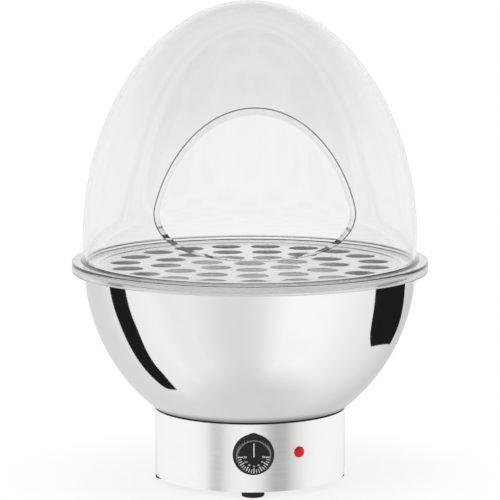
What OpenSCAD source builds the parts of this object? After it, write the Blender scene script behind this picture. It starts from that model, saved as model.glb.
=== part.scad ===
// Table-top egg warmer: a steel bowl on a round heated base, a perforated egg tray in its mouth
// and a clear egg-shaped dome with a hand opening.
// Millimetres. Z is up, the front with the knob faces -Y, the feet stand on z = 0.

/* [Feet] */
// Diameter of a rubber foot
foot_d = 26.5; // [20:0.5:30]
// Height of a foot below the base ring
foot_h = 7; // [6:0.5:12]
// Radius of the circle that the four feet stand on
foot_circle_r = 99.5; // [80:0.5:99.5]
// Radius of the rounded lower edge of a foot
foot_round = 1.6; // [0.5:0.1:2.5]
// Depth of the recess for the screw head under a foot
foot_recess_depth = 3.8; // [3:0.1:4.5]
// Diameter of that recess
foot_recess_d = 10; // [9:0.5:12]

/* [Base ring] */
// Outside diameter of the base ring
ring_od = 226; // [222:1:250]
// Sheet thickness of the base ring
ring_wall = 1.5; // [1:0.1:2]
// Height of the base ring, from its lower edge to the bowl
ring_h = 79.5; // [76:0.5:90]

/* [Base plate] */
// Sheet thickness of the base plate
plate_t = 1.5; // [1:0.1:2.5]
// Height of the plate's upturned rim
plate_rim_h = 11; // [6:1:18]
// Depth of the pressed cup that hides the tie nut
cup_depth = 7; // [6.5:0.5:10]
// Radius of the flat top of that cup
cup_r = 12; // [10:0.5:16]
// Width that the cup's flank takes
cup_flank = 5; // [3:0.5:8]
// Number of vent slots
vent_slots = 16; // [8:1:18]
// Width of a vent slot
vent_slot_w = 4; // [2:0.5:5]
// Radius at which the vent slots start
vent_slot_r = 30; // [28:1:36]
// Length of a vent slot
vent_slot_len = 20; // [10:1:24]

/* [Bowl] */
// Outside diameter of the bowl where it is widest
bowl_od = 392; // [384:1:396]
// Height of the bowl's curve, from its widest plane to the tip that the floor cuts off
bowl_curve_h = 217; // [210:1:225]
// How full the bowl's curve is along its height
bowl_full_z = 2.03; // [1.9:0.01:2.2]
// How full the bowl's curve is across
bowl_full_r = 1.89; // [1.8:0.01:2.1]
// Sheet thickness of the bowl
bowl_wall = 1.2; // [0.8:0.1:2]
// Radius where the curve turns into the rounded floor
bowl_blend_r = 100; // [92:1:104]
// Height of the flat floor's underside above the base plate
bowl_floor_clear = 57.5; // [54:0.5:60]
// Distance from the bowl's widest plane down to the top of its lip
bowl_trim = 4.4; // [3:0.1:8]
// Radius of the rolled lip
lip_r = 2.4; // [1.8:0.1:3]

/* [Tray ring] */
// Sheet thickness of the ring that carries the tray
tray_ring_t = 1.2; // [0.8:0.1:2]
// Height of the edge that turns down over the bowl's lip
tray_ring_edge_h = 5; // [3:0.5:7]
// Radial width of the step that the tray lies on
tray_ledge_w = 8; // [5:0.5:10]
// Play between the tray ring and the bowl's lip
tray_ring_play = 0.3; // [0.1:0.1:1]
// Width of the tray ring's flat, from the edge of the bowl's lip in to the step
tray_ring_flat_w = 21.5; // [19:0.5:24]

/* [Egg tray] */
// Thickness of the tray
tray_t = 1.5; // [1:0.1:2.5]
// Depth of the tray's top below the top of the tray ring
tray_sink = 2; // [1.5:0.5:4]
// Gap between the tray and the step round it
tray_gap = 2.5; // [1:0.5:3]
// Diameter of a seat for one egg
seat_d = 37; // [30:0.5:38]
// Radius of the innermost ring of seats
seat_ring_r = 52; // [50:1:52]
// Distance from one ring of seats to the next
seat_pitch = 48; // [46:0.5:48]
// Least width of sheet left between the outer seats and the tray's edge
seat_margin = 8; // [8:0.5:12]
// How far each seat's edge is eased
seat_ease = 0.6; // [0.2:0.1:1]
// Diameter of the small steam holes along the edge
steam_hole_d = 3.2; // [2:0.2:3.6]
// Steam holes for each seat of the outer ring
steam_holes_per_seat = 3; // [1:2:3]
// Distance of the steam holes from the tray's edge
steam_hole_inset = 7.6; // [7.4:0.1:8]

/* [Dome] */
// How far the dome's wall stands inside the tray ring's edge
dome_inset = 4.5; // [3:0.5:7]
// Thickness of the clear sheet
dome_wall = 4; // [3:0.5:5]
// Height of the upright wall above the flange
dome_straight = 32; // [26:1:45]
// Height of the egg curve above the upright wall
dome_curve_h = 272.5; // [240:0.5:300]
// How full the egg curve is along its height
dome_full_z = 1.92; // [1.8:0.01:2.1]
// How full the egg curve is across
dome_full_r = 1.96; // [1.85:0.01:2.1]
// Thickness of the flange
flange_t = 3; // [2:0.5:5]
// Radius between the flange and the wall
flange_root = 3; // [1:0.5:5]
// Rounding of the flange's outer edges
flange_ease = 0.6; // [0.3:0.1:0.9]
// Height of the clear seat ring under the flange
seat_band_h = 9.5; // [6:0.5:12]
// Width of the seat ring, which sets the edge of the flange above it
seat_band_w = 8.5; // [6:0.5:12]
// Play between the seat ring and the tray ring inside it
seat_band_play = 0.5; // [0.3:0.1:1]

/* [Hand opening] */
// Depth of the upright cut behind the front of the dome's wall
opening_depth = 40; // [34:0.5:46]
// Height above the flange at which the cut leaves the dome's front
opening_sill_h = 24.5; // [20:0.5:30]
// Slope of the sill, falling towards the front
opening_sill_slope = 27; // [15:1:35]
// Radius between the upright cut and the sill
opening_bend = 62; // [40:1:65]

/* [Controls] */
// Height of the knob's axis above the base ring's lower edge
knob_up = 45; // [42:0.5:47]
// Height of the pilot lamp above the base ring's lower edge
lamp_up = 44.5; // [40:0.5:50]
// Angle from the knob round to the pilot lamp
lamp_angle = 28; // [25:1:40]

/* [Knob] */
// Diameter of the knob's skirt
skirt_d = 48; // [44:0.5:50]
// Thickness of the skirt
skirt_t = 3; // [2:0.5:4]
// Gap between the skirt and the base ring
skirt_gap = 1; // [0.5:0.1:2]
// How far the index lobe stands out of the skirt
lobe_out = 1.2; // [0.5:0.1:2]
// Radius of the index lobe
lobe_r = 9; // [7:0.5:11]
// Diameter of the grip at its foot
grip_d = 40.5; // [38:0.5:42]
// How much narrower the grip is at its face
grip_taper = 1; // [0:0.2:2]
// Height of the grip above the skirt
grip_h = 12.5; // [11:0.5:16]
// Number of flutes round the grip
flutes = 36; // [18:2:40]
// Depth of a flute
flute_depth = 0.6; // [0.3:0.1:0.9]
// Diameter of the face plate let into the grip
face_d = 35; // [32:0.5:36]
// Thickness of the face plate
face_t = 0.8; // [0.5:0.1:1.2]
// Length of the pointer line from the centre
pointer_len = 15.5; // [10:0.5:16]
// Width of the pointer line
pointer_w = 1; // [0.6:0.1:1.5]
// Depth of the hollow behind the knob
knob_hollow_depth = 5.5; // [5:0.5:6.5]
// Radius of that hollow
knob_hollow_r = 10; // [9:0.5:12]

/* [Thermostat] */
// Diameter of the shaft
shaft_d = 6; // [5:0.5:6]
// Distance from the axis to the shaft's flat
shaft_flat = 1.9; // [1.8:0.1:2.1]
// Outside diameter of the threaded bush
bush_d = 10; // [9:0.5:11]
// How far the bush stands out of the base ring
bush_out = 4.5; // [4:0.5:5]
// Width across flats of the thermostat nut
bush_nut_af = 14; // [13:0.5:16]
// Thickness of the thermostat nut
bush_nut_t = 2.6; // [2:0.1:3]
// Width of the thermostat body
stat_w = 34; // [28:1:36]
// Height of the thermostat body
stat_h = 34; // [28:1:36]
// Depth of the thermostat body
stat_deep = 24; // [18:1:26]
// How far the body hangs below the shaft's axis
stat_down = 20; // [16:1:21]
// Diameter of the sensor bulb
bulb_d = 6.4; // [5:0.2:6.6]
// Length of the sensor bulb
bulb_len = 44; // [36:1:46]
// Diameter of the capillary tube
capillary_d = 1.8; // [1.4:0.2:2.4]

/* [Pilot lamp] */
// Diameter of the red lens
lens_d = 13; // [12:0.5:15]
// Height of the lens
lens_h = 4; // [3:0.5:6]
// Diameter of the lamp body behind the lens
lamp_d = 10; // [9:0.5:10.5]
// Length of the lamp body
lamp_len = 22; // [16:1:26]
// Outside diameter of the spring clip on the lamp body
lamp_clip_d = 17; // [15:1:20]

/* [Heater] */
// Diameter of the tubular heating element
element_d = 7; // [6.6:0.1:8]
// Radius of the element's circle
element_r = 43; // [41:0.5:44]
// Angle that the element leaves open at the back
element_gap = 36; // [30:1:50]
// Bend radius of the element's ends
element_bend = 8; // [7:0.5:10]
// Length of the element's straight ends
element_end = 12; // [10:1:14]
// Thickness of the clamp plate
clamp_t = 2; // [1.5:0.1:3]
// Radius of the clamp plate
clamp_r = 52; // [50:0.5:53]
// Thickness of the insulation disc
insulation_t = 6; // [4:0.5:6.5]
// Inner radius of the heater pan
pan_r = 55; // [54:0.5:57]
// Sheet thickness of the heater pan
pan_t = 1; // [0.6:0.1:1.5]
// Diameter of the safety cut-out
cutout_d = 15; // [12:1:16]

/* [Cord gland] */
// Height of the gland above the base ring's lower edge
gland_up = 26; // [24:0.5:34]
// Diameter of the gland's thread
gland_d = 16; // [14:0.5:18]
// Width across flats of the gland's hexagons
gland_af = 22; // [21:0.5:24]
// Bore of the rubber seal that the cord goes through
gland_bore_d = 6.8; // [6:0.2:8]
// Wall of the rubber seal
gland_seal_wall = 1.6; // [1.2:0.1:2]
// Thickness of the gland's fixed hexagon
gland_hex_t = 5; // [4:0.5:6]
// Length of the dome nut
gland_nut_len = 13; // [12:0.5:16]
// Thickness of the lock nut inside
gland_lock_t = 4; // [3:0.5:5]

/* [Wiring] */
// Width of the terminal block
block_w = 38; // [34:1:44]
// Depth of the terminal block
block_deep = 18; // [16:1:20]
// Height of the terminal block
block_h = 15; // [12:1:16]
// Distance of the terminal block behind the centre
block_back = 68; // [66:1:70]
// Diameter of an insulated wire
wire_d = 2.6; // [2:0.2:3]

/* [Fasteners] */
// Diameter of the foot screws
foot_screw_d = 4; // [3:0.5:5]
// Length of the foot screws under the head
foot_screw_len = 12; // [10:1:16]
// Diameter of the tie rod
tie_d = 6; // [5:0.5:6]
// Width across flats of the nuts on the tie rod
tie_nut_af = 10; // [9:0.5:11]
// Thickness of the nuts on the tie rod
tie_nut_t = 5; // [4:0.5:5.5]
// Radial clearance between a thread or shaft and its bore
thread_clear = 0.05; // [0.02:0.01:0.1]
// Radial clearance of a hole in sheet round what passes it
hole_clear = 0.2; // [0.1:0.1:0.4]
// Gap left between pieces that nearly touch
slack = 0.1; // [0.05:0.05:0.3]

/* [Hidden] */
$fn = 96;
eps = 0.01;

// Base, from the floor up
ring_r = ring_od / 2;
ring_in_r = ring_r - ring_wall;
plate_z = foot_h;
plate_top = plate_z + plate_t;
plate_r = ring_in_r - slack;
seat_z = foot_h + ring_h;
knob_z = foot_h + knob_up;
lamp_z = foot_h + lamp_up;
gland_z = foot_h + gland_up;

// Bowl: the curve's widest plane lies where the ring's inner edge meets the curve
bowl_r = bowl_od / 2;
seat_u = pow(1 - pow(ring_in_r / bowl_r, bowl_full_r), 1 / bowl_full_z);
bowl_ref_z = seat_z + bowl_curve_h * seat_u;
bowl_floor_z = plate_top + bowl_floor_clear;
blend_u = pow(1 - pow(bowl_blend_r / bowl_r, bowl_full_r), 1 / bowl_full_z);
blend_z = bowl_ref_z - bowl_curve_h * blend_u;
blend_slope = bowl_r * (bowl_full_z / bowl_full_r) * pow(blend_u, bowl_full_z - 1)
    * pow(1 - pow(blend_u, bowl_full_z), 1 / bowl_full_r - 1);
blend_angle = atan(bowl_curve_h / blend_slope);
blend_rho = (blend_z - bowl_floor_z) / (1 - cos(blend_angle));
floor_flat_r = bowl_blend_r - blend_rho * sin(blend_angle);
lip_top = bowl_ref_z - bowl_trim;
lip_z = lip_top - lip_r;
lip_angle = acos(bowl_wall / lip_r - 1);
rim_z = lip_z - lip_r * sin(lip_angle);
rim_u = (bowl_ref_z - rim_z) / bowl_curve_h;
rim_r = curve_r(rim_u, bowl_r, bowl_full_z, bowl_full_r);
lip_c = rim_r - bowl_wall + lip_r;
lip_out_r = lip_c + lip_r;

// Tray ring, tray and dome stand on one another
tray_ring_top = lip_top + tray_ring_t;
tray_ring_in = lip_out_r + tray_ring_play;
tray_ring_out = tray_ring_in + tray_ring_t;
step_r = lip_out_r - tray_ring_flat_w;
tray_r = step_r - tray_gap;
tray_z = tray_ring_top - tray_sink - tray_t;
ledge_in_r = step_r - tray_ledge_w;
flange_z = tray_ring_top;
flange_top = flange_z + flange_t;
band_in_r = tray_ring_out + seat_band_play;
flange_r = band_in_r + seat_band_w;
dome_r = tray_ring_out - dome_inset;
dome_curve_z = flange_top + dome_straight;
dome_top = dome_curve_z + dome_curve_h;

// As many rings of seats as the tray has room for
seat_rings = 1 + floor((tray_r - seat_margin - seat_d / 2 - seat_ring_r) / seat_pitch);

// Hand opening, drawn in the side view
opening_plane = dome_r - opening_depth;
sill_z = flange_top + opening_sill_h;
corner_z = sill_z + (dome_r - opening_plane) * tan(opening_sill_slope);
bend_angle = 90 - opening_sill_slope;
bend_run = opening_bend * tan(bend_angle / 2);

// Heater stack, hung from the bowl's floor
element_z = bowl_floor_z - element_d / 2;
clamp_z = bowl_floor_z - element_d - clamp_t;
insulation_z = clamp_z - insulation_t;
pan_z = insulation_z - pan_t;
tie_nut_z = plate_z + cup_depth - tie_nut_t;
tie_bottom = tie_nut_z + 0.5;
service_x = -bulb_len / 2 - 4;
service_y = 22;
service_r = 4.5;
cutout_y = -22;
leg_clear = 1.5;

// Points on the wall of the base ring, seen from the piece that passes through it
function sag(x) = ring_in_r - sqrt(ring_in_r * ring_in_r - x * x);
stat_front = -(ring_wall + 3.5);
shoulder_r = bush_d / 2 + 2;
shaft_in = stat_front + 1.2;
shaft_out = skirt_gap + skirt_t + grip_h - face_t - 2;
knob_front = skirt_gap + skirt_t + grip_h;

// Curves
function curve_r(u, r, full_z, full_r) = r * pow(max(0, 1 - pow(u, full_z)), 1 / full_r);
function unit(v) = v / norm(v);
function outward(p, i) =
    let (t = unit(p[min(i + 1, len(p) - 1)] - p[max(i - 1, 0)]))
    [t[1], -t[0]];
function arc(c, r, a0, a1, n) =
    [for (i = [0:n]) let (a = a0 + (a1 - a0) * i / n) [c[0] + r * cos(a), c[1] + r * sin(a)]];
function reversed(p) = [for (i = [len(p) - 1:-1:0]) p[i]];

// A smooth line through chosen points, and the tube that follows it
function spline_point(p, i, t) =
    let (a = p[max(i - 1, 0)], b = p[i], c = p[i + 1], d = p[min(i + 2, len(p) - 1)])
    0.5 * ((2 * b) + (c - a) * t + (2 * a - 5 * b + 4 * c - d) * t * t
        + (3 * b - a - 3 * c + d) * t * t * t);
function spline(p, n) =
    concat([for (i = [0:len(p) - 2], k = [0:n - 1]) spline_point(p, i, k / n)], [p[len(p) - 1]]);
function direction(p, i) = unit(p[min(i + 1, len(p) - 1)] - p[max(i - 1, 0)]);
function carried(side, d) = unit(side - (side * d) * d);
function sides(p, i = 0, s = [0.31, 0.89, 0.33]) =
    i == len(p) ? []
    : let (now = carried(s, direction(p, i))) concat([now], sides(p, i + 1, now));

module tube(p, r, n = 8) {
    s = sides(p);
    rings = [for (i = [0:len(p) - 1], k = [0:n - 1])
        let (d = direction(p, i), a = 360 * k / n)
        p[i] + r * (s[i] * cos(a) + cross(d, s[i]) * sin(a))];
    m = len(p) - 1;
    walls = [for (i = [0:m - 1], k = [0:n - 1])
        [[i * n + k, (i + 1) * n + k, (i + 1) * n + (k + 1) % n],
         [i * n + k, (i + 1) * n + (k + 1) % n, i * n + (k + 1) % n]]];
    caps = [[for (k = [0:n - 1]) k], [for (k = [n - 1:-1:0]) m * n + k]];
    polyhedron(rings, concat([for (w = walls, f = w) f], caps));
}

// Puts its children on the outside of the base ring, their z axis pointing outwards
module on_ring(z, angle = 0) {
    rotate([0, 0, angle]) translate([0, -ring_r, z]) rotate([90, 0, 0]) children();
}

module hexagon(af, h) {
    cylinder(d = af / cos(30), h = h, $fn = 6);
}

module nut(af, h, d) {
    difference() {
        hexagon(af, h);
        translate([0, 0, -eps]) cylinder(r = d / 2 + thread_clear, h = h + 2 * eps, $fn = 48);
    }
}

module at_feet() {
    for (a = [0:90:270]) rotate([0, 0, a]) translate([0, -foot_circle_r, 0]) children();
}

module rubber_feet() {
    foot_profile = concat(
        [[foot_recess_d / 2, 0]],
        arc([foot_d / 2 - foot_round, foot_round], foot_round, -90, 0, 6),
        [[foot_d / 2, foot_h], [foot_screw_d / 2 + hole_clear, foot_h],
         [foot_screw_d / 2 + hole_clear, foot_recess_depth], [foot_recess_d / 2, foot_recess_depth]]);
    color("#1c1c1e") at_feet() rotate_extrude() polygon(foot_profile);
}

module foot_screws() {
    head_h = 2.2;
    cross_w = 1.2;
    color("silver") at_feet() {
        difference() {
            translate([0, 0, foot_recess_depth - head_h])
                cylinder(d = 2 * foot_screw_d, h = head_h, $fn = 48);
            for (a = [0, 90]) rotate([0, 0, a])
                translate([-foot_screw_d / 2, -cross_w / 2, foot_recess_depth - head_h - eps])
                    cube([foot_screw_d, cross_w, head_h / 2]);
        }
        translate([0, 0, foot_recess_depth]) cylinder(d = foot_screw_d, h = foot_screw_len, $fn = 48);
    }
}

module foot_nuts() {
    foot_nut_af = 1.75 * foot_screw_d;
    color("silver") at_feet() translate([0, 0, plate_top])
        nut(foot_nut_af, 0.8 * foot_screw_d, foot_screw_d);
}

module base_plate() {
    top = plate_z + cup_depth;
    plate_profile = [[0, top], [cup_r, top], [cup_r + cup_flank, plate_z], [plate_r, plate_z],
        [plate_r, plate_z + plate_rim_h], [plate_r - plate_t, plate_z + plate_rim_h],
        [plate_r - plate_t, plate_top], [cup_r + cup_flank + plate_t / 2, plate_top],
        [cup_r + plate_t / 2, top + plate_t], [0, top + plate_t]];
    color("lightgray") difference() {
        rotate_extrude() polygon(plate_profile);
        translate([0, 0, top - 1]) cylinder(r = tie_d / 2 + hole_clear, h = plate_t + 2);
        at_feet() translate([0, 0, plate_z - 1])
            cylinder(r = foot_screw_d / 2 + hole_clear, h = plate_t + 2);
        for (i = [0:vent_slots - 1]) rotate([0, 0, 360 * (i + 0.5) / vent_slots])
            translate([vent_slot_r, 0, plate_z - 1]) {
                cylinder(d = vent_slot_w, h = plate_t + 2, $fn = 24);
                translate([0, -vent_slot_w / 2, 0]) cube([vent_slot_len, vent_slot_w, plate_t + 2]);
                translate([vent_slot_len, 0, 0]) cylinder(d = vent_slot_w, h = plate_t + 2, $fn = 24);
            }
    }
}

module base_ring() {
    through = 6 * ring_wall;
    color("gainsboro") difference() {
        translate([0, 0, plate_z]) rotate_extrude($fn = 180)
            translate([ring_in_r, 0]) square([ring_wall, ring_h]);
        on_ring(knob_z) translate([0, 0, -through / 2])
            cylinder(r = bush_d / 2 + hole_clear, h = through);
        on_ring(lamp_z, lamp_angle) translate([0, 0, -through / 2])
            cylinder(r = lamp_d / 2 + hole_clear, h = through);
        on_ring(gland_z, 180) translate([0, 0, -through / 2])
            cylinder(r = gland_d / 2 + hole_clear, h = through);
    }
}

module tie_rod() {
    color("silver") translate([0, 0, tie_bottom])
        cylinder(d = tie_d, h = bowl_floor_z - tie_bottom, $fn = 48);
}

module tie_nut() {
    color("silver") translate([0, 0, tie_nut_z]) nut(tie_nut_af, tie_nut_t, tie_d);
}

module bowl() {
    steps = 30;
    a0 = asin(blend_u);
    a1 = asin(rim_u);
    wall_line = concat(
        [for (p = arc([floor_flat_r, bowl_floor_z + blend_rho], blend_rho, -90, blend_angle - 90, 8)) p],
        [for (i = [1:steps]) let (u = sin(a0 + (a1 - a0) * i / steps))
            [curve_r(u, bowl_r, bowl_full_z, bowl_full_r), bowl_ref_z - bowl_curve_h * u]]);
    last = len(wall_line) - 1;
    inner_line = [for (i = [0:last])
        i == 0 ? wall_line[0] + [0, bowl_wall]
        : i == last ? wall_line[last] - [bowl_wall, 0]
        : wall_line[i] - bowl_wall * outward(wall_line, i)];
    lip_line = arc([lip_c, lip_z], lip_r, -lip_angle, 180, 16);
    color("silver") rotate_extrude($fn = 180) polygon(concat(
        [[0, bowl_floor_z]], wall_line, [for (i = [1:16]) lip_line[i]],
        reversed(inner_line), [[0, bowl_floor_z + bowl_wall]]));
}

module tray_ring() {
    ledge_top = tray_z;
    color("gainsboro") rotate_extrude($fn = 180) polygon([
        [tray_ring_in, tray_ring_top - tray_ring_edge_h],
        [tray_ring_out, tray_ring_top - tray_ring_edge_h],
        [tray_ring_out, tray_ring_top - tray_ring_t / 2],
        [tray_ring_out - tray_ring_t / 2, tray_ring_top],
        [step_r, tray_ring_top],
        [step_r, ledge_top],
        [ledge_in_r, ledge_top],
        [ledge_in_r, ledge_top - tray_ring_t],
        [step_r + tray_ring_t, ledge_top - tray_ring_t],
        [step_r + tray_ring_t, lip_top],
        [tray_ring_in, lip_top]]);
}

// The element's ring, open at the back, and its two ends that turn down through the clamp and the pan
module at_element_ends() {
    for (side = [1, -1]) rotate([0, 0, 90 + side * element_gap / 2])
        translate([element_r, 0, element_z]) rotate([0, 0, -side * 90]) children();
}

module heating_element() {
    pin_len = 7;
    pin_r = 1.4;
    leg_top = -element_bend;
    color("dimgray") {
        translate([0, 0, element_z]) rotate([0, 0, 90 + element_gap / 2])
            rotate_extrude(angle = 360 - element_gap)
                translate([element_r, 0]) circle(d = element_d, $fn = 32);
        at_element_ends() {
            translate([0, 0, -element_bend]) rotate([90, 0, 0]) rotate_extrude(angle = 90)
                translate([element_bend, 0]) circle(d = element_d, $fn = 32);
            translate([element_bend, 0, leg_top - element_end])
                cylinder(d = element_d, h = element_end, $fn = 32);
            translate([element_bend, 0, leg_top - element_end - pin_len])
                cylinder(r = pin_r, h = pin_len, $fn = 32);
        }
    }
}

// What passes through the clamp, the insulation and the pan, cut with room to spare
module heater_passages(z, h) {
    at_element_ends() translate([-leg_clear, -element_d / 2 - leg_clear, z - element_z])
        cube([element_bend + element_d / 2 + 2 * leg_clear, element_d + 2 * leg_clear, h]);
    translate([service_x, service_y, z]) cylinder(r = service_r, h = h, $fn = 32);
}

module heater_clamp() {
    color("lightgray") difference() {
        translate([0, 0, clamp_z]) cylinder(r = clamp_r, h = clamp_t);
        translate([0, 0, clamp_z - 1]) cylinder(r = tie_d / 2 + hole_clear, h = clamp_t + 2, $fn = 48);
        translate([0, cutout_y, clamp_z - 1])
            cylinder(r = cutout_d / 2 + hole_clear, h = clamp_t + 2, $fn = 48);
        heater_passages(clamp_z - 1, clamp_t + 2);
    }
}

module clamp_nut() {
    color("silver") translate([0, 0, clamp_z - tie_nut_t]) nut(tie_nut_af, tie_nut_t, tie_d);
}

module insulation_disc() {
    color("ivory") difference() {
        translate([0, 0, insulation_z]) cylinder(r = pan_r - slack, h = insulation_t - slack);
        translate([0, 0, insulation_z - 1]) cylinder(r = tie_nut_af, h = insulation_t + 2);
        translate([0, cutout_y, insulation_z - 1]) cylinder(r = cutout_d / 2 + 1, h = insulation_t + 2);
        heater_passages(insulation_z - 1, insulation_t + 2);
    }
}

module heater_pan() {
    pan_out = pan_r + pan_t;
    color("lightgray") difference() {
        rotate_extrude() polygon([[0, pan_z], [pan_out, pan_z], [pan_out, bowl_floor_z],
            [pan_r, bowl_floor_z], [pan_r, insulation_z], [0, insulation_z]]);
        translate([0, 0, pan_z - 1]) cylinder(r = tie_d / 2 + hole_clear, h = pan_t + 2, $fn = 48);
        translate([0, cutout_y, pan_z - 1]) cylinder(r = cutout_d / 2, h = pan_t + 2, $fn = 48);
        heater_passages(pan_z - 1, pan_t + 2);
    }
}

module pan_nut() {
    color("silver") translate([0, 0, pan_z - tie_nut_t]) nut(tie_nut_af, tie_nut_t, tie_d);
}

// Disc thermostat that cuts the heater off; its collar rests on the clamp, its top meets the bowl
module safety_cutout() {
    collar_t = 1;
    neck_d = cutout_d - 2;
    tab_w = 4.8;
    tab_t = 0.8;
    tab_len = 9;
    color("tan") translate([0, cutout_y, 0]) {
        translate([0, 0, clamp_z + clamp_t + collar_t])
            cylinder(d = cutout_d, h = element_d - collar_t, $fn = 48);
        translate([0, 0, clamp_z + clamp_t]) cylinder(d = cutout_d + 4, h = collar_t, $fn = 48);
        translate([0, 0, clamp_z - 2]) cylinder(d = neck_d, h = clamp_t + 2, $fn = 48);
        for (x = [-1, 1]) translate([x * neck_d / 4 - tab_w / 4, -tab_t / 2, clamp_z - 2 - tab_len])
            cube([tab_w / 2, tab_t, tab_len]);
    }
}

module sensor_bulb() {
    color("#b87333") translate([-bulb_len / 2, service_y, bowl_floor_z - bulb_d / 2]) rotate([0, 90, 0]) {
        cylinder(d = bulb_d, h = bulb_len, $fn = 48);
        translate([0, 0, -1]) cylinder(d1 = capillary_d + 1, d2 = bulb_d, h = 1, $fn = 48);
    }
}

module capillary_tube() {
    bulb_z = bowl_floor_z - bulb_d / 2;
    stat_back_y = -ring_r - stat_front + stat_deep;
    stat_axis_z = knob_z - stat_down + 8;
    route = [[service_x + 2.9, service_y, bulb_z], [service_x + 0.8, service_y, bulb_z - 0.8],
        [service_x, service_y, bulb_z - 4], [service_x, service_y, pan_z - 4],
        [service_x - 8, service_y - 8, pan_z - 12], [service_x - 8, service_y - 34, pan_z - 14],
        [-30, -40, 32], [-10, -48, 30], [-4, -66, 32], [-18, -72, 36], [-20, -58, 38],
        [-12, -62, stat_axis_z], [-12, stat_back_y, stat_axis_z]];
    color("#b87333") tube(spline(route, 4), capillary_d / 2, 8);
}

module thermostat_body() {
    shoulder_z = -(ring_wall + sag(shoulder_r) + slack / 2);
    tab_w = 6.3;
    tab_t = 0.8;
    tab_len = 8;
    lid_t = 3;
    color("ghostwhite") on_ring(knob_z) difference() {
        union() {
            translate([-stat_w / 2, -stat_down, stat_front - stat_deep])
                cube([stat_w, stat_h, stat_deep - lid_t]);
            translate([-stat_w / 2 + 1, -stat_down + 1, stat_front - lid_t])
                cube([stat_w - 2, stat_h - 2, lid_t]);
            translate([0, 0, stat_front - 1]) cylinder(r = shoulder_r, h = shoulder_z - stat_front + 1);
            translate([0, 0, stat_front - 1]) cylinder(d = bush_d, h = bush_out - stat_front + 1);
            for (x = [-1, 1]) translate([x * stat_w / 4 - tab_w / 2, stat_h - stat_down - 8,
                stat_front - stat_deep - tab_len])
                cube([tab_w, tab_t, tab_len + 1]);
        }
        translate([0, 0, stat_front + 1])
            cylinder(r = shaft_d / 2 + thread_clear, h = bush_out - stat_front);
    }
}

module thermostat_nut() {
    color("silver") on_ring(knob_z) nut(bush_nut_af, bush_nut_t, bush_d);
}

module thermostat_shaft() {
    flat_len = shaft_out - bush_out - 1;
    color("silver") on_ring(knob_z) difference() {
        translate([0, 0, shaft_in]) cylinder(d = shaft_d, h = shaft_out - shaft_in);
        translate([-shaft_d, shaft_flat, shaft_out - flat_len]) cube([2 * shaft_d, shaft_d, flat_len + 1]);
    }
}

module knob() {
    skirt_z = skirt_gap;
    grip_z = skirt_gap + skirt_t;
    hollow_z = skirt_gap + knob_hollow_depth;
    bore_flat = shaft_flat + 0.6;
    flute_r = 1.1;
    color("#18181a") on_ring(knob_z) difference() {
        union() {
            translate([0, 0, skirt_z + skirt_t / 2])
                cylinder(d1 = skirt_d, d2 = skirt_d - 1.2, h = skirt_t / 2);
            translate([0, 0, skirt_z]) cylinder(d = skirt_d, h = skirt_t / 2);
            translate([0, skirt_d / 2 + lobe_out - lobe_r, skirt_z])
                cylinder(r = lobe_r, h = skirt_t - 0.4);
            translate([0, 0, grip_z]) cylinder(d1 = grip_d, d2 = grip_d - grip_taper, h = grip_h);
        }
        translate([0, 0, skirt_z - 1]) cylinder(r = knob_hollow_r, h = knob_hollow_depth + 1);
        translate([0, 0, knob_front - face_t]) cylinder(d = face_d + 2 * slack, h = face_t + 1);
        difference() {
            translate([0, 0, hollow_z - 1])
                cylinder(r = shaft_d / 2 + thread_clear, h = shaft_out - hollow_z + 1.5);
            translate([-shaft_d, bore_flat, hollow_z - 2])
                cube([2 * shaft_d, shaft_d, shaft_out - hollow_z + 4]);
        }
        for (i = [0:flutes - 1]) rotate([0, 0, 360 * (i + 0.5) / flutes])
            translate([grip_d / 2 - flute_depth + flute_r, 0, grip_z + 0.8])
                cylinder(r = flute_r, h = grip_h, $fn = 16);
    }
}

module knob_face() {
    groove = 0.25;
    color("#101012") on_ring(knob_z) difference() {
        translate([0, 0, knob_front - face_t]) cylinder(d = face_d, h = face_t);
        translate([-pointer_w / 2, 0, knob_front - groove]) cube([pointer_w, pointer_len, groove + 1]);
    }
}

module knob_spring() {
    spring_w = 3;
    spring_t = 0.4;
    color("silver") on_ring(knob_z)
        translate([-spring_w / 2, shaft_flat + slack, skirt_gap + knob_hollow_depth + 0.5])
            cube([spring_w, spring_t, shaft_out - skirt_gap - knob_hollow_depth - 1]);
}

module pilot_lens() {
    rim = 1;
    lens_r = lens_d / 2;
    crown = lens_h - rim;
    lens_profile = concat([[0, 0], [lens_r, 0], [lens_r, rim]],
        [for (i = [1:10]) [(lens_r - 0.5) * cos(9 * i), rim + crown * sin(9 * i)]]);
    color("red") on_ring(lamp_z, lamp_angle) rotate_extrude() polygon(lens_profile);
}

module pilot_body() {
    tab_len = 8;
    color("#303034") on_ring(lamp_z, lamp_angle) {
        translate([0, 0, -lamp_len]) cylinder(d = lamp_d, h = lamp_len);
        for (x = [-1, 1]) translate([x * lamp_d / 5 - 0.4, -1.4, -lamp_len - tab_len])
            cube([0.8, 2.8, tab_len]);
    }
}

module pilot_clip() {
    clip_t = 0.8;
    clip_z = -(ring_wall + sag(lamp_clip_d / 2) + clip_t + slack / 2);
    color("silver") on_ring(lamp_z, lamp_angle) translate([0, 0, clip_z]) difference() {
        cylinder(d = lamp_clip_d, h = clip_t);
        translate([0, 0, -1]) cylinder(r = lamp_d / 2 + thread_clear, h = clip_t + 2);
        for (a = [0:60:300]) rotate([0, 0, a]) translate([0, -0.5, -1])
            cube([lamp_d / 2 + 1.6, 1, clip_t + 2]);
    }
}

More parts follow.
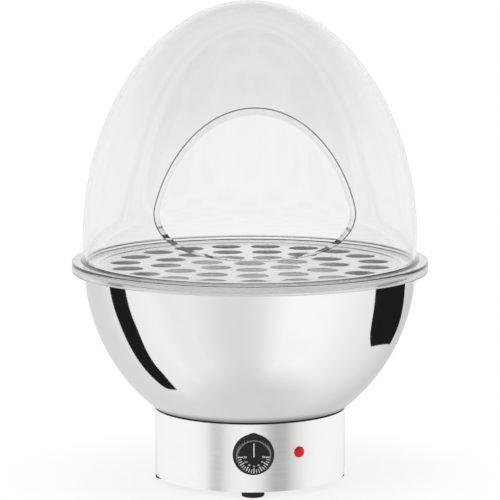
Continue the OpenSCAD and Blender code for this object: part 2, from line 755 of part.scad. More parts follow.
module gland_body() {
    inner_len = 14;
    neck_d = gland_d - 1;
    color("#2a2a2c") on_ring(gland_z, 180) difference() {
        union() {
            translate([0, 0, -inner_len]) cylinder(d = gland_d, h = inner_len + 1);
            hexagon(gland_af, gland_hex_t);
            cylinder(d = neck_d, h = gland_hex_t + gland_nut_len - 4);
        }
        translate([0, 0, -inner_len - 1])
            cylinder(r = gland_bore_d / 2 + gland_seal_wall + thread_clear, h = inner_len + 40);
    }
}

module gland_dome_nut() {
    neck_d = gland_d - 1;
    top_t = 2;
    nut_z = gland_hex_t + slack;
    color("#2a2a2c") on_ring(gland_z, 180) difference() {
        union() {
            translate([0, 0, nut_z]) hexagon(gland_af - 1, gland_nut_len - 5);
            translate([0, 0, nut_z]) cylinder(d = gland_af - 1, h = gland_nut_len - 4);
            translate([0, 0, nut_z + gland_nut_len - 4])
                cylinder(d1 = gland_af - 1, d2 = gland_af - 7, h = 4);
        }
        translate([0, 0, nut_z - 1]) cylinder(r = neck_d / 2 + thread_clear, h = gland_nut_len - top_t + 1);
        translate([0, 0, nut_z])
            cylinder(r = gland_bore_d / 2 + gland_seal_wall - 0.6, h = gland_nut_len + 1);
    }
}

module gland_seal() {
    seal_z = 3;
    color("#3a3a3c") on_ring(gland_z, 180) difference() {
        translate([0, 0, seal_z]) cylinder(r = gland_bore_d / 2 + gland_seal_wall,
            h = gland_hex_t + gland_nut_len - 2 - slack - seal_z);
        translate([0, 0, seal_z - 1]) cylinder(d = gland_bore_d, h = gland_hex_t + gland_nut_len);
    }
}

module gland_lock_nut() {
    lock_z = -(ring_wall + sag(gland_af / 2 / cos(30)) + gland_lock_t + slack / 2);
    color("#2a2a2c") on_ring(gland_z, 180) translate([0, 0, lock_z]) nut(gland_af, gland_lock_t, gland_d);
}

module terminal_block() {
    poles = 3;
    pitch = block_w / poles;
    color("white") translate([0, block_back, plate_top]) difference() {
        union() {
            translate([-block_w / 2, -block_deep / 2, 0]) cube([block_w, block_deep, 3]);
            for (i = [0:poles - 1]) translate([(i - 1) * pitch - pitch / 2 + 1, -block_deep / 2 + 1, 3])
                cube([pitch - 2, block_deep - 2, block_h - 3]);
        }
        for (i = [0:poles - 1]) {
            translate([(i - 1) * pitch, 0, block_h / 2]) rotate([90, 0, 0])
                cylinder(d = wire_d + 1, h = block_deep + 2, center = true, $fn = 24);
            for (y = [-1, 1]) translate([(i - 1) * pitch, y * block_deep / 4, block_h / 2])
                cylinder(d = 3.4, h = block_h, $fn = 24);
        }
    }
}

module terminal_screws() {
    pitch = block_w / 3;
    color("goldenrod") translate([0, block_back, plate_top])
        for (i = [-1:1], y = [-1, 1]) translate([i * pitch, y * block_deep / 4, block_h - 5])
            difference() {
                cylinder(d = 3.2, h = 4.4, $fn = 24);
                translate([-2, -0.35, 3.4]) cube([4, 0.7, 2]);
            }
}

module earth_stud() {
    stud_d = 4;
    stud_len = 14;
    color("goldenrod") translate([62, 44, plate_top]) {
        cylinder(d = stud_d, h = stud_len, $fn = 32);
        difference() {
            cylinder(d = 9, h = 1, $fn = 48);
            translate([0, 0, -1]) cylinder(r = stud_d / 2 + thread_clear, h = 3, $fn = 32);
        }
        translate([0, 0, 1]) nut(7, 3.2, stud_d);
    }
}

module internal_wires() {
    pitch = block_w / 3;
    wire_z = plate_top + block_h / 2;
    wire_y = block_back - block_deep / 2 - 1;
    pin = [element_r * sin(element_gap / 2) - element_bend * cos(element_gap / 2),
        element_r * cos(element_gap / 2) + element_bend * sin(element_gap / 2)];
    pin_z = element_z - element_bend - element_end - 8.5;
    stat_tab_y = -ring_r - stat_front + stat_deep + 9.5;
    stat_tab_z = knob_z + stat_h - stat_down - 7.6;
    lamp_back = ring_r - lamp_len - 9.5;
    lamp_x = lamp_back * sin(lamp_angle);
    lamp_y = -lamp_back * cos(lamp_angle);
    supply = [[-pitch, wire_y, wire_z], [-pitch, wire_y - 14, wire_z], [-34, 20, 24], [-40, -20, 26],
        [-24, -52, stat_tab_z - 12], [-stat_w / 4, stat_tab_y + 8, stat_tab_z],
        [-stat_w / 4, stat_tab_y, stat_tab_z]];
    heater_feed = [[stat_w / 4, stat_tab_y, stat_tab_z], [stat_w / 4, stat_tab_y + 8, stat_tab_z],
        [18, -44, 30], [30, -10, 28], [26, 30, 30], [-pin[0], pin[1], pin_z - 8], [-pin[0], pin[1], pin_z]];
    lamp_feed = [[lamp_x + 2, lamp_y, lamp_z], [lamp_x - 2, lamp_y + 8, lamp_z - 4], [44, -20, 40],
        [46, 16, 26], [pitch, wire_y - 12, wire_z], [pitch, wire_y, wire_z]];
    color("#c03020") {
        tube(spline(supply, 3), wire_d / 2, 8);
        tube(spline(heater_feed, 3), wire_d / 2, 8);
    }
    color("#3060c0") tube(spline(lamp_feed, 3), wire_d / 2, 8);
}

module egg_tray() {
    outer_seats = 6 * seat_rings + 1;
    steam_holes = outer_seats * steam_holes_per_seat;
    color("silver") translate([0, 0, tray_z]) difference() {
        cylinder(r = tray_r, h = tray_t, $fn = 180);
        egg_seat();
        for (k = [1:seat_rings], i = [0:6 * k])
            rotate([0, 0, 360 * i / (6 * k + 1)])
                translate([0, -seat_ring_r - (k - 1) * seat_pitch, 0]) egg_seat();
        for (i = [0:steam_holes - 1]) rotate([0, 0, 360 * (i + 0.5) / steam_holes])
            translate([0, tray_r - steam_hole_inset, -1])
                cylinder(d = steam_hole_d, h = tray_t + 2, $fn = 16);
    }
}

module egg_seat() {
    translate([0, 0, -1]) cylinder(d = seat_d, h = tray_t + 2, $fn = 60);
    translate([0, 0, tray_t - seat_ease])
        cylinder(d1 = seat_d, d2 = seat_d + 3 * seat_ease, h = 1.5 * seat_ease, $fn = 60);
}

// The blown shell; its foot stands on the tray ring
module dome() {
    steps = 24;
    egg_line = [for (i = [0:steps]) let (u = sin(90 * i / steps))
        [curve_r(u, dome_r, dome_full_z, dome_full_r), dome_curve_z + dome_curve_h * u]];
    inner_line = [for (i = [0:steps])
        i == 0 ? egg_line[0] - [dome_wall, 0]
        : i == steps ? [0, dome_top - dome_wall]
        : egg_line[i] - dome_wall * outward(egg_line, i)];
    color([0.85, 0.93, 0.96, 0.35]) difference() {
        rotate_extrude($fn = 180) polygon(concat(
            [[dome_r - dome_wall, flange_z], [dome_r, flange_z]], egg_line, reversed(inner_line)));
        hand_opening();
    }
}

// The flange, bonded round the shell's foot with a fillet of cement
module dome_flange() {
    e = flange_ease;
    fillet_end = 180 + acos(1 - slack / flange_root);
    color([0.85, 0.93, 0.96, 0.35]) rotate_extrude($fn = 180) polygon(concat(
        [[dome_r + slack, flange_z], [flange_r - e, flange_z], [flange_r, flange_z + e],
         [flange_r, flange_top - e], [flange_r - e, flange_top]],
        arc([dome_r + flange_root, flange_top + flange_root], flange_root, 270, fillet_end, 6)));
}

// Everything in front of the cut, drawn in the side view and carried across the dome
module hand_opening() {
    far = 1.3 * dome_r;
    top = 1.1 * dome_top;
    bend_c = [-opening_plane - opening_bend, corner_z + bend_run];
    cut_line = concat(
        [[-far, top], [-opening_plane, top]],
        arc(bend_c, opening_bend, 0, -bend_angle, 12),
        [[-far, sill_z - (far - dome_r) * tan(opening_sill_slope)]]);
    rotate([90, 0, 90]) linear_extrude(height = 2 * far, center = true) polygon(cut_line);
}

module dome_seat_band() {
    e = flange_ease;
    band_bottom = flange_z - seat_band_h;
    color([0.85, 0.93, 0.96, 0.5]) rotate_extrude($fn = 180) polygon([
        [band_in_r, band_bottom], [flange_r - e, band_bottom], [flange_r, band_bottom + e],
        [flange_r, flange_z - e], [flange_r - e, flange_z], [band_in_r, flange_z]]);
}

rubber_feet();
foot_screws();
foot_nuts();
base_plate();
base_ring();
tie_rod();
tie_nut();
bowl();
tray_ring();
heating_element();
heater_clamp();
clamp_nut();
insulation_disc();
heater_pan();
pan_nut();
safety_cutout();
sensor_bulb();
capillary_tube();
thermostat_body();
thermostat_nut();
pilot_lens();
pilot_body();
pilot_clip();
gland_body();
gland_dome_nut();
gland_lock_nut();
gland_seal();
terminal_block();
terminal_screws();
internal_wires();
earth_stud();
thermostat_shaft();
knob();
knob_face();
knob_spring();
egg_tray();
dome();
dome_flange();
dome_seat_band();
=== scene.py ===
import math

import bmesh
import bpy
import numpy
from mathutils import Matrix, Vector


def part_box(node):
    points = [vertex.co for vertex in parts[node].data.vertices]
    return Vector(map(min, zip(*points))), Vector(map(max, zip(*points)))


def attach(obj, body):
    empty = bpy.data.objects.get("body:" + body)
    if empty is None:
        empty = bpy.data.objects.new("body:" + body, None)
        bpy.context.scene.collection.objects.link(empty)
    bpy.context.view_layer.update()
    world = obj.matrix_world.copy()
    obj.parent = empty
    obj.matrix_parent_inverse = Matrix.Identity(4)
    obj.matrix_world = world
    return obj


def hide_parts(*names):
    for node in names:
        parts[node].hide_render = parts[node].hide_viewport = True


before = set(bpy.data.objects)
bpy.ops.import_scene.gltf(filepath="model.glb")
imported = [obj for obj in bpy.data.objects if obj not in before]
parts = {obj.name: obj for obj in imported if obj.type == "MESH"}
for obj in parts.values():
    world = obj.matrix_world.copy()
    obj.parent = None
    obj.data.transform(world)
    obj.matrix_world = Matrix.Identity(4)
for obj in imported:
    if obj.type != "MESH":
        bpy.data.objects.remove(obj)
bpy.context.view_layer.update()


# ---- The view ----
# The warmer is seen from three metres away, a little from above and almost square to the knob.
# A long lens keeps the bowl and the dome upright.
view_turn = math.radians(-2)
view_dip = math.radians(7.861)
view_distance = 3.0
view_height = 0.6874
view_lens = 184.71

scene = bpy.context.scene
scene.view_settings.view_transform = "Standard"


def place(name, data):
    """Puts a new object into the scene."""
    made = bpy.data.objects.new(name, data)
    scene.collection.objects.link(made)
    return made


camera = place("camera", bpy.data.cameras.new("camera"))
camera.location = (view_distance * math.sin(view_turn), -view_distance * math.cos(view_turn), view_height)
camera.rotation_euler = (math.radians(90) - view_dip, 0, view_turn)
camera.data.lens = view_lens
scene.camera = camera


# ---- The room's light ----
# Plain soft light from all round. What the polished metal mirrors is a white cove with two dark
# screens at the sides and a dim ceiling, so the bowl shows its two black stripes.
def put(tree, kind, inputs=None, **settings):
    """Places one shader node; an input takes a number, a colour or another node's output."""
    node = tree.nodes.new("ShaderNode" + kind)
    for name, value in settings.items():
        setattr(node, name, value)
    for name, value in (inputs or {}).items():
        if isinstance(value, bpy.types.NodeSocket):
            tree.links.new(value, node.inputs[name])
        else:
            node.inputs[name].default_value = value
    return node


def calc(tree, operation, a, b=0.0, clamp=False):
    """One arithmetic node; gives its output."""
    return put(tree, "Math", {0: a, 1: b}, operation=operation, use_clamp=clamp).outputs[0]


def ease(tree, value, start, end, low=0.0, high=1.0):
    """Goes smoothly from low to high as the value goes from start to end."""
    return put(tree, "MapRange", {"Value": value, "From Min": start, "From Max": end,
               "To Min": low, "To Max": high}, interpolation_type="SMOOTHSTEP").outputs[0]


def tint(tree, factor, first, second):
    """Mixes two colours by a mask."""
    first, second = [(*c, 1) if isinstance(c, tuple) else c for c in (first, second)]
    return put(tree, "Mix", {"Factor": factor, 6: first, 7: second}, data_type="RGBA").outputs[2]


def all_of(tree, *masks):
    """One mask that holds only where all of these hold."""
    whole = masks[0]
    for mask in masks[1:]:
        whole = calc(tree, "MULTIPLY", whole, mask)
    return whole


def in_plain_view(tree):
    """1 for what the camera sees, straight or through the clear dome."""
    ray = put(tree, "LightPath").outputs
    return calc(tree, "ADD", ray["Is Camera Ray"], ray["Is Transmission Ray"], clamp=True)


def round_the_room(tree, bearing, stops):
    """A ramp of greys by the compass bearing, with 0 degrees in front of the knob."""
    turn = calc(tree, "DIVIDE", calc(tree, "ADD", bearing, 180), 360)
    node = put(tree, "ValToRGB", {"Fac": turn})
    ramp = node.color_ramp
    while len(ramp.elements) < len(stops):
        ramp.elements.new(1.0)
    for element, (angle, shade) in zip(ramp.elements, stops):
        element.position = (angle + 180) / 360
        element.color = (shade, shade, shade, 1)
    return node.outputs["Color"]


# Each stop is a bearing in degrees and the cove's grey there, below and above the wall line
low_walls = [(-180, 0.72), (-150, 0.72), (-130, 0.74), (-112, 0.86), (-90, 0.90), (-78, 0.93),
             (-60, 0.87), (-47, 0.87), (-33, 0.80), (-20, 0.75), (-8, 0.75), (4, 0.79), (14, 0.88),
             (26, 0.99), (44, 0.99), (60, 0.97), (75, 0.92), (90, 0.88), (120, 0.79), (150, 0.64),
             (180, 0.66)]
high_walls = [(-180, 1.0), (-90, 1.0), (-66, 1.0), (-54, 1.0), (-45, 0.44), (-40, 0.44), (-31, 0.86),
              (-20, 0.96), (0, 0.96), (12, 0.90), (22, 0.43), (40, 0.41), (51, 0.76), (63, 0.92),
              (80, 1.0), (180, 1.0)]
wall_line = -9.5
left_foot, right_from = -58, 94
ground_shade, ceiling_shade, screen_shade, room_shade = 0.68, 0.14, 0.012, 0.62

world = bpy.data.worlds.new("room")
scene.world = world
world.use_nodes = True
tree = world.node_tree
tree.nodes.clear()
aim = put(tree, "SeparateXYZ", {0: put(tree, "TexCoord").outputs["Generated"]}).outputs
bearing = calc(tree, "DEGREES", calc(tree, "ARCTAN2", aim["X"], calc(tree, "MULTIPLY", aim["Y"], -1)))
height = calc(tree, "DEGREES", calc(tree, "ARCSINE", aim["Z"]))

low = tint(tree, ease(tree, height, -54, -80), round_the_room(tree, bearing, low_walls), (ground_shade,) * 3)
high = tint(tree, ease(tree, height, 16, 40), round_the_room(tree, bearing, high_walls), (ceiling_shade,) * 3)
walls = tint(tree, ease(tree, height, wall_line - 1, wall_line + 1), low, high)

# The left screen leans outwards below and runs to a point
left_from = calc(tree, "ADD", ease(tree, height, -23, -52, 0, -9.8), -116.4)
left_to = calc(tree, "ADD", ease(tree, height, -28, -52, 0, -9.5), -98.1)
taper = calc(tree, "MULTIPLY", calc(tree, "SUBTRACT", -49, height), 1 / 8, clamp=True)
taper = calc(tree, "MULTIPLY", calc(tree, "POWER", taper, 1.5), 11.0)
under_line = calc(tree, "LESS_THAN", height, wall_line)
left_screen = all_of(tree, calc(tree, "GREATER_THAN", bearing, calc(tree, "ADD", left_from, taper)),
                     calc(tree, "LESS_THAN", bearing, calc(tree, "SUBTRACT", left_to, taper)),
                     calc(tree, "GREATER_THAN", height, left_foot), under_line)

# The right screen's lower edge falls in a curl and rises again in a straight line
curl = calc(tree, "EXPONENT", calc(tree, "MULTIPLY", calc(tree, "SUBTRACT", bearing, 96.8), -0.17))
rise = calc(tree, "MULTIPLY", calc(tree, "SUBTRACT", bearing, 117.5), 0.345)
foot_line = calc(tree, "MAXIMUM", calc(tree, "ADD", -33, calc(tree, "MULTIPLY", curl, 14.8)),
                 calc(tree, "ADD", -32, rise))
right_to = calc(tree, "ADD", 135.5, ease(tree, height, -11, -20, 0, 10))
right_screen = all_of(tree, calc(tree, "GREATER_THAN", height, foot_line),
                      calc(tree, "LESS_THAN", bearing, right_to),
                      calc(tree, "GREATER_THAN", bearing, right_from), under_line)
screens = calc(tree, "ADD", left_screen, right_screen, clamp=True)
mirrored = tint(tree, screens, walls, (screen_shade,) * 3)

glossy_ray = put(tree, "LightPath").outputs["Is Glossy Ray"]
plain = tint(tree, glossy_ray, (room_shade,) * 3, mirrored)
shown = tint(tree, in_plain_view(tree), plain, (1, 1, 1))
put(tree, "OutputWorld", {"Surface": put(tree, "Background", {"Color": shown}).outputs[0]})


def soft_lamp(name, spot, width, power):
    """A square lamp that looks at the warmer's foot and shows in no mirror and through no glass."""
    lamp = place(name, bpy.data.lights.new(name, "AREA"))
    lamp.data.size = width
    lamp.data.energy = power
    lamp.location = spot
    lamp.rotation_euler = (-lamp.location).to_track_quat("-Z", "Y").to_euler()
    lamp.visible_glossy = False
    lamp.visible_transmission = False


soft_lamp("left_lamp", (-1.5, -1.7, 2.0), 1.4, 26)
soft_lamp("right_lamp", (1.9, -1.2, 1.4), 1.2, 9)
soft_lamp("back_lamp", (0.4, 1.9, 1.9), 1.2, 9)

# As in the photo, the bowl mirrors nothing of the base below it, and the dome nothing of the tray
for part in parts.values():
    part.visible_glossy = False


# ---- The white floor ----
# One large sheet. Near the feet it takes the warmer's soft shadow, farther out it is plain white,
# and it stays out of the mirror of the bowl, which shows the cove instead.
floor_half = 45.0
shadow_to, white_from, near_glow = 0.12, 0.34, 0.76

mesh = bpy.data.meshes.new("floor")
mesh.from_pydata([(x * floor_half, y * floor_half, 0) for x, y in ((-1, -1), (1, -1), (1, 1), (-1, 1))],
                 [], [(0, 1, 2, 3)])
floor = place("floor", mesh)
floor.visible_glossy = False
paint = bpy.data.materials.new("floor_white")
paint.use_nodes = True
tree = paint.node_tree
tree.nodes.clear()
spot = put(tree, "NewGeometry").outputs["Position"]
out = put(tree, "VectorMath", {0: spot}, operation="LENGTH").outputs["Value"]
away = ease(tree, out, shadow_to, white_from, near_glow, 1.0)
matt = put(tree, "BsdfDiffuse", {"Color": (0.9, 0.9, 0.9, 1)}).outputs[0]
white = put(tree, "Emission", {"Color": (1, 1, 1, 1), "Strength": 1.0}).outputs[0]
glow = all_of(tree, away, in_plain_view(tree))
mixed = put(tree, "MixShader", {0: glow, 1: matt, 2: white}).outputs[0]
put(tree, "OutputMaterial", {"Surface": mixed})
mesh.materials.append(paint)


# ---- Rubber feet ----
# Four round feet of black rubber with a rounded tread edge, moulded, each screwed up into the base
# plate through a recess. They show a dull bloom and a little floor dust round the tread.
def effect(name, inputs, outputs):
    """Starts a shared surface effect: a node group of named numbers in and out."""
    group = bpy.data.node_groups.new(name, "ShaderNodeTree")
    for socket, value in inputs.items():
        made = group.interface.new_socket(socket, in_out="INPUT", socket_type="NodeSocketFloat")
        made.default_value = value
    for socket in outputs:
        group.interface.new_socket(socket, in_out="OUTPUT", socket_type="NodeSocketFloat")
    given = group.nodes.new("NodeGroupInput").outputs
    result = group.nodes.new("NodeGroupOutput").inputs
    return group, given, result


def finish(name, **sockets):
    """A new material with one Principled surface; the sockets take plain values."""
    made = bpy.data.materials.new(name)
    made.use_nodes = True
    tree = made.node_tree
    surface = tree.nodes["Principled BSDF"]
    for socket, value in sockets.items():
        surface.inputs[socket.replace("_", " ")].default_value = value
    return made, tree, surface.inputs


def use(tree, shared, **values):
    """Places a shared effect in a material, with that material's own numbers."""
    return put(tree, "Group", values, node_tree=shared).outputs


def link(tree, output, socket):
    """Joins one output to one input."""
    tree.links.new(output, socket)


def own_place(tree):
    """The place on the piece itself, in metres, which travels with the piece."""
    return put(tree, "TexCoord").outputs["Object"]


def own_axes(tree):
    """The same place as three lengths, X, Y and Z."""
    return put(tree, "SeparateXYZ", {0: own_place(tree)}).outputs


def noise(tree, spot, scale, detail, roughness=0.5):
    """Soft random mottling between 0 and 1."""
    return put(tree, "TexNoise", {"Vector": spot, "Scale": scale, "Detail": detail,
               "Roughness": roughness}).outputs["Fac"]


def raise_by(tree, height, distance):
    """A normal bumped by a height over a real distance in metres."""
    return put(tree, "Bump", {"Height": height, "Distance": distance}).outputs["Normal"]


def colour_by(tree, surface, mask, first, second):
    """Colours a surface from one tone to another by a mask."""
    link(tree, tint(tree, mask, first, second), surface["Base Color"])


def emboss(tree, surface, height, distance):
    """Gives a surface a fine relief by a height mask."""
    link(tree, raise_by(tree, height, distance), surface["Normal"])


def dress(made, *nodes):
    """Gives CAD nodes their material."""
    for node in nodes:
        for slot in parts[node].material_slots:
            slot.material = made


# Moulded grain: the fine matt texture that a mould leaves, and a cloudy bloom over it
moulded_grain, given, result = effect("moulded_grain", {"Grain": 4000.0, "Cloud": 60.0}, ["Height", "Bloom"])
spot = own_place(moulded_grain)
soft = noise(moulded_grain, spot, given["Cloud"], 4.0)
link(moulded_grain, noise(moulded_grain, spot, given["Grain"], 2.0), result["Height"])
link(moulded_grain, ease(moulded_grain, soft, 0.35, 0.7), result["Bloom"])

rubber, tree, surface = finish("foot_rubber", Roughness=0.55, Specular_IOR_Level=0.3)
grain = use(tree, moulded_grain, Grain=2600.0, Cloud=90.0)
dust = all_of(tree, ease(tree, own_axes(tree)["Z"], 0.0010, 0.0), calc(tree, "MULTIPLY", grain["Bloom"], 0.5))
dull = calc(tree, "ADD", dust, calc(tree, "MULTIPLY", grain["Bloom"], 0.12))
colour_by(tree, surface, dull, (0.008, 0.008, 0.0085), (0.07, 0.069, 0.065))
link(tree, ease(tree, grain["Bloom"], 0, 1, 0.46, 0.66), surface["Roughness"])
emboss(tree, surface, grain["Height"], 0.00006)
dress(rubber, "rubber_feet")

seal_rubber, tree, surface = finish("seal_rubber", Roughness=0.6)
grain = use(tree, moulded_grain, Grain=5000.0, Cloud=200.0)
colour_by(tree, surface, grain["Bloom"], (0.030, 0.030, 0.031), (0.055, 0.055, 0.056))
emboss(tree, surface, grain["Height"], 0.00003)
dress(seal_rubber, "gland_seal")


# ---- Foot screws, nuts and the tie rod ----
# Zinc-plated steel hardware: bright bluish plating with a slightly crystalline cloud and darker
# spots where the plating has dulled. The tie rod draws bowl, ring and plate together.
plated, tree, surface = finish("zinc_plate", Metallic=1.0)
spot = own_place(tree)
cloud = noise(tree, spot, 220.0, 5.0)
fine = noise(tree, spot, 2400.0, 2.0)
colour_by(tree, surface, ease(tree, cloud, 0.35, 0.65), (0.64, 0.66, 0.69), (0.76, 0.76, 0.75))
link(tree, ease(tree, cloud, 0.3, 0.7, 0.26, 0.42), surface["Roughness"])
emboss(tree, surface, fine, 0.00002)
dress(plated, "foot_screws", "foot_nuts", "tie_rod", "tie_nut", "clamp_nut", "pan_nut", "thermostat_nut",
      "thermostat_shaft", "knob_spring", "pilot_clip")


# ---- Base plate ----
# The round closing plate, pressed from galvanised sheet: its rim stands up inside the ring, a cup in
# the middle hides the tie nut and the slots let air in. The zinc shows its flat grey crystals.
sheet, tree, surface = finish("galvanised_sheet", Metallic=1.0)
spot = own_place(tree)
crystal = put(tree, "TexVoronoi", {"Vector": spot, "Scale": 75.0, "Randomness": 1.0}).outputs["Color"]
crystal = put(tree, "SeparateColor", {0: crystal}).outputs[0]
fine = noise(tree, spot, 900.0, 3.0)
colour_by(tree, surface, crystal, (0.55, 0.57, 0.59), (0.72, 0.73, 0.74))
link(tree, ease(tree, crystal, 0, 1, 0.34, 0.52), surface["Roughness"])
relief = calc(tree, "ADD", calc(tree, "MULTIPLY", crystal, 0.6), fine)
emboss(tree, surface, relief, 0.00003)
dress(sheet, "base_plate", "heater_pan", "heater_clamp")


# ---- Base ring ----
# The upright wall that everything stands on: stainless sheet rolled into a drum and ground with a
# fine grain that runs round it, so light stretches into upright streaks. It carries the controls.
def diagonal(tree, a, b):
    """The length of the diagonal over two sides at right angles."""
    return calc(tree, "SQRT", calc(tree, "ADD", calc(tree, "MULTIPLY", a, a), calc(tree, "MULTIPLY", b, b)))


def smudged(tree, rough, marks, more):
    """Roughness of steel: its own, and some more where hands have left smudges."""
    return calc(tree, "ADD", rough, calc(tree, "MULTIPLY", marks["Smudges"], more))


# Handling marks: hairline scratches in all directions and soft smudges left by hands
handling_marks, given, result = effect("handling_marks", {"Scratch": 260.0, "Smudge": 14.0},
                                       ["Scratches", "Smudges"])
tree = handling_marks
spot = own_place(tree)
turned = put(tree, "TexNoise", {"Vector": spot, "Scale": 26.0, "Detail": 2.0}).outputs["Color"]
warped = put(tree, "Mix", {"Factor": 0.06, 4: spot, 5: turned}, data_type="VECTOR").outputs[1]
lines = put(tree, "TexVoronoi", {"Vector": warped, "Scale": given["Scratch"]},
            feature="DISTANCE_TO_EDGE").outputs["Distance"]
rare = noise(tree, spot, 60.0, 1.0)
link(tree, all_of(tree, ease(tree, lines, 0.012, 0.0), ease(tree, rare, 0.6, 0.75)), result["Scratches"])
smear = noise(tree, spot, given["Smudge"], 5.0, 0.6)
link(tree, ease(tree, smear, 0.42, 0.72), result["Smudges"])

# Turned grain: fine lines that run round the upright axis, as grinding or spinning leaves them
turned_grain, given, result = effect("turned_grain", {"Across": 1500.0, "Along": 6.0}, ["Height", "Tone"])
tree = turned_grain
axes = own_axes(tree)
outward = calc(tree, "ADD", axes["Z"], diagonal(tree, axes["X"], axes["Y"]))
around = calc(tree, "ARCTAN2", axes["X"], axes["Y"])
laid = put(tree, "CombineXYZ", {
    0: calc(tree, "MULTIPLY", outward, given["Across"]),
    1: calc(tree, "MULTIPLY", calc(tree, "SINE", around), given["Along"]),
    2: calc(tree, "MULTIPLY", calc(tree, "COSINE", around), given["Along"])}).outputs[0]
grain = noise(tree, laid, 1.0, 3.0, 0.7)
link(tree, grain, result["Height"])
link(tree, ease(tree, grain, 0.3, 0.7), result["Tone"])

satin, tree, surface = finish("satin_steel", Metallic=1.0, Anisotropic=0.75)
grain = use(tree, turned_grain, Across=1500.0, Along=2.5)
marks = use(tree, handling_marks, Scratch=150.0, Smudge=16.0)
colour_by(tree, surface, grain["Tone"], (0.91, 0.91, 0.915), (0.95, 0.95, 0.95))
link(tree, smudged(tree, ease(tree, grain["Tone"], 0, 1, 0.19, 0.22), marks, 0.03), surface["Roughness"])
relief = calc(tree, "ADD", calc(tree, "MULTIPLY", grain["Height"], 0.3), marks["Scratches"])
fine = raise_by(tree, relief, 0.0000015)
# The grinding leaves each groove steeper on its upper flank, which lifts the light that it returns
flank_lift = 0.16
lifted = put(tree, "VectorMath", {0: fine, 1: (0, 0, flank_lift)}, operation="ADD").outputs["Vector"]
link(tree, put(tree, "VectorMath", {0: lifted}, operation="NORMALIZE").outputs["Vector"], surface["Normal"])
link(tree, put(tree, "Tangent", axis="Z").outputs[0], surface["Tangent"])
dress(satin, "base_ring")


# ---- Seal between bowl and ring ----
# A thin black lip of rubber that fills the narrow gap over the ring's top edge, pushed in from outside.
# As a dark piece in the crevice under the bowl it is also painted shade: it gives the joint its dark line.
ring_radius = 0.113
ring_inner = 0.1115
seal_steps = 180
ring_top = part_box("base_ring")[1].z
seal_profile = [(ring_inner + 0.0001, ring_top), (ring_radius + 0.0004, ring_top),
                (ring_radius + 0.0006, ring_top + 0.0004), (ring_radius + 0.0004, ring_top + 0.0009),
                (ring_inner + 0.0006, ring_top + 0.0003)]


def settle(shaping, mesh):
    """Writes a finished shape to its mesh, with every face looking outwards."""
    bmesh.ops.recalc_face_normals(shaping, faces=shaping.faces)
    shaping.to_mesh(mesh)
    shaping.free()


def lathe(name, profile, steps):
    """Turns a closed outline of (radius, height) points round the upright axis."""
    turned = bmesh.new()
    rings = []
    for radius, level in profile:
        if radius < 1e-6:
            rings.append([turned.verts.new((0, 0, level))] * steps)
        else:
            rings.append([turned.verts.new((radius * math.sin(2 * math.pi * k / steps),
                                            -radius * math.cos(2 * math.pi * k / steps), level))
                          for k in range(steps)])
    for here, there in zip(rings, rings[1:] + rings[:1]):
        for k in range(steps):
            corners = []
            for vertex in (here[k], here[(k + 1) % steps], there[(k + 1) % steps], there[k]):
                if vertex not in corners:
                    corners.append(vertex)
            if len(corners) > 2:
                turned.faces.new(corners)
    mesh = bpy.data.meshes.new(name)
    settle(turned, mesh)
    return place(name, mesh)


def smooth(made, sharp_from):
    """Smooth shading with real edges kept from the given angle up."""
    made.data.shade_smooth()
    made.data.set_sharp_from_angle(angle=math.radians(sharp_from))


dark_crevice_seal = lathe("dark_crevice_seal", seal_profile, seal_steps)
smooth(dark_crevice_seal, 60)
dark_crevice_seal.data.materials.append(seal_rubber)
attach(dark_crevice_seal, "base")


# ---- Bowl ----
# Stainless steel spun over a former and polished to a mirror outside and in. Its lip is rolled
# outwards into a bead. The polish leaves only faint rings and hairlines.
bowl_radius = 0.196
bowl_curve = 0.217
bowl_level = 0.262760
bowl_powers = (2.03, 1.89)
bowl_sheet = 0.0012
floor_level = 0.066
blend_radius = 0.100
bead = 0.0024
bead_level = 0.255960
floor_rings, bend_rings, wall_rings, lip_rings = 10, 16, 90, 28
turn_steps = 256


def egg_curve(u, radius, powers):
    """Radius of the egg-like curve at the share u of its height."""
    return radius * max(0.0, 1 - u ** powers[0]) ** (1 / powers[1])


def way_along(line, i):
    """Which way an outline runs at one of its points, as a step outwards and a step up."""
    before, after = line[max(i - 1, 0)], line[min(i + 1, len(line) - 1)]
    run, rise = after[0] - before[0], after[1] - before[1]
    length = math.hypot(run, rise)
    return run / length, rise / length


def offset_line(line, distance):
    """The same outline moved sideways by the sheet's thickness."""
    moved = []
    for i, (radius, level) in enumerate(line):
        run, rise = way_along(line, i)
        moved.append((radius - distance * rise, level + distance * run))
    return moved


blend_share = (1 - (blend_radius / bowl_radius) ** bowl_powers[1]) ** (1 / bowl_powers[0])
blend_level = bowl_level - bowl_curve * blend_share
slope = (bowl_radius * (bowl_powers[0] / bowl_powers[1]) * blend_share ** (bowl_powers[0] - 1)
         * (1 - blend_share ** bowl_powers[0]) ** (1 / bowl_powers[1] - 1))
blend_angle = math.atan(bowl_curve / slope)
blend_bend = (blend_level - floor_level) / (1 - math.cos(blend_angle))
floor_radius = blend_radius - blend_bend * math.sin(blend_angle)
lip_turn = math.acos(bowl_sheet / bead - 1)
rim_level = bead_level - bead * math.sin(lip_turn)
rim_share = (bowl_level - rim_level) / bowl_curve
rim_radius = egg_curve(rim_share, bowl_radius, bowl_powers)
bead_radius = rim_radius - bowl_sheet + bead

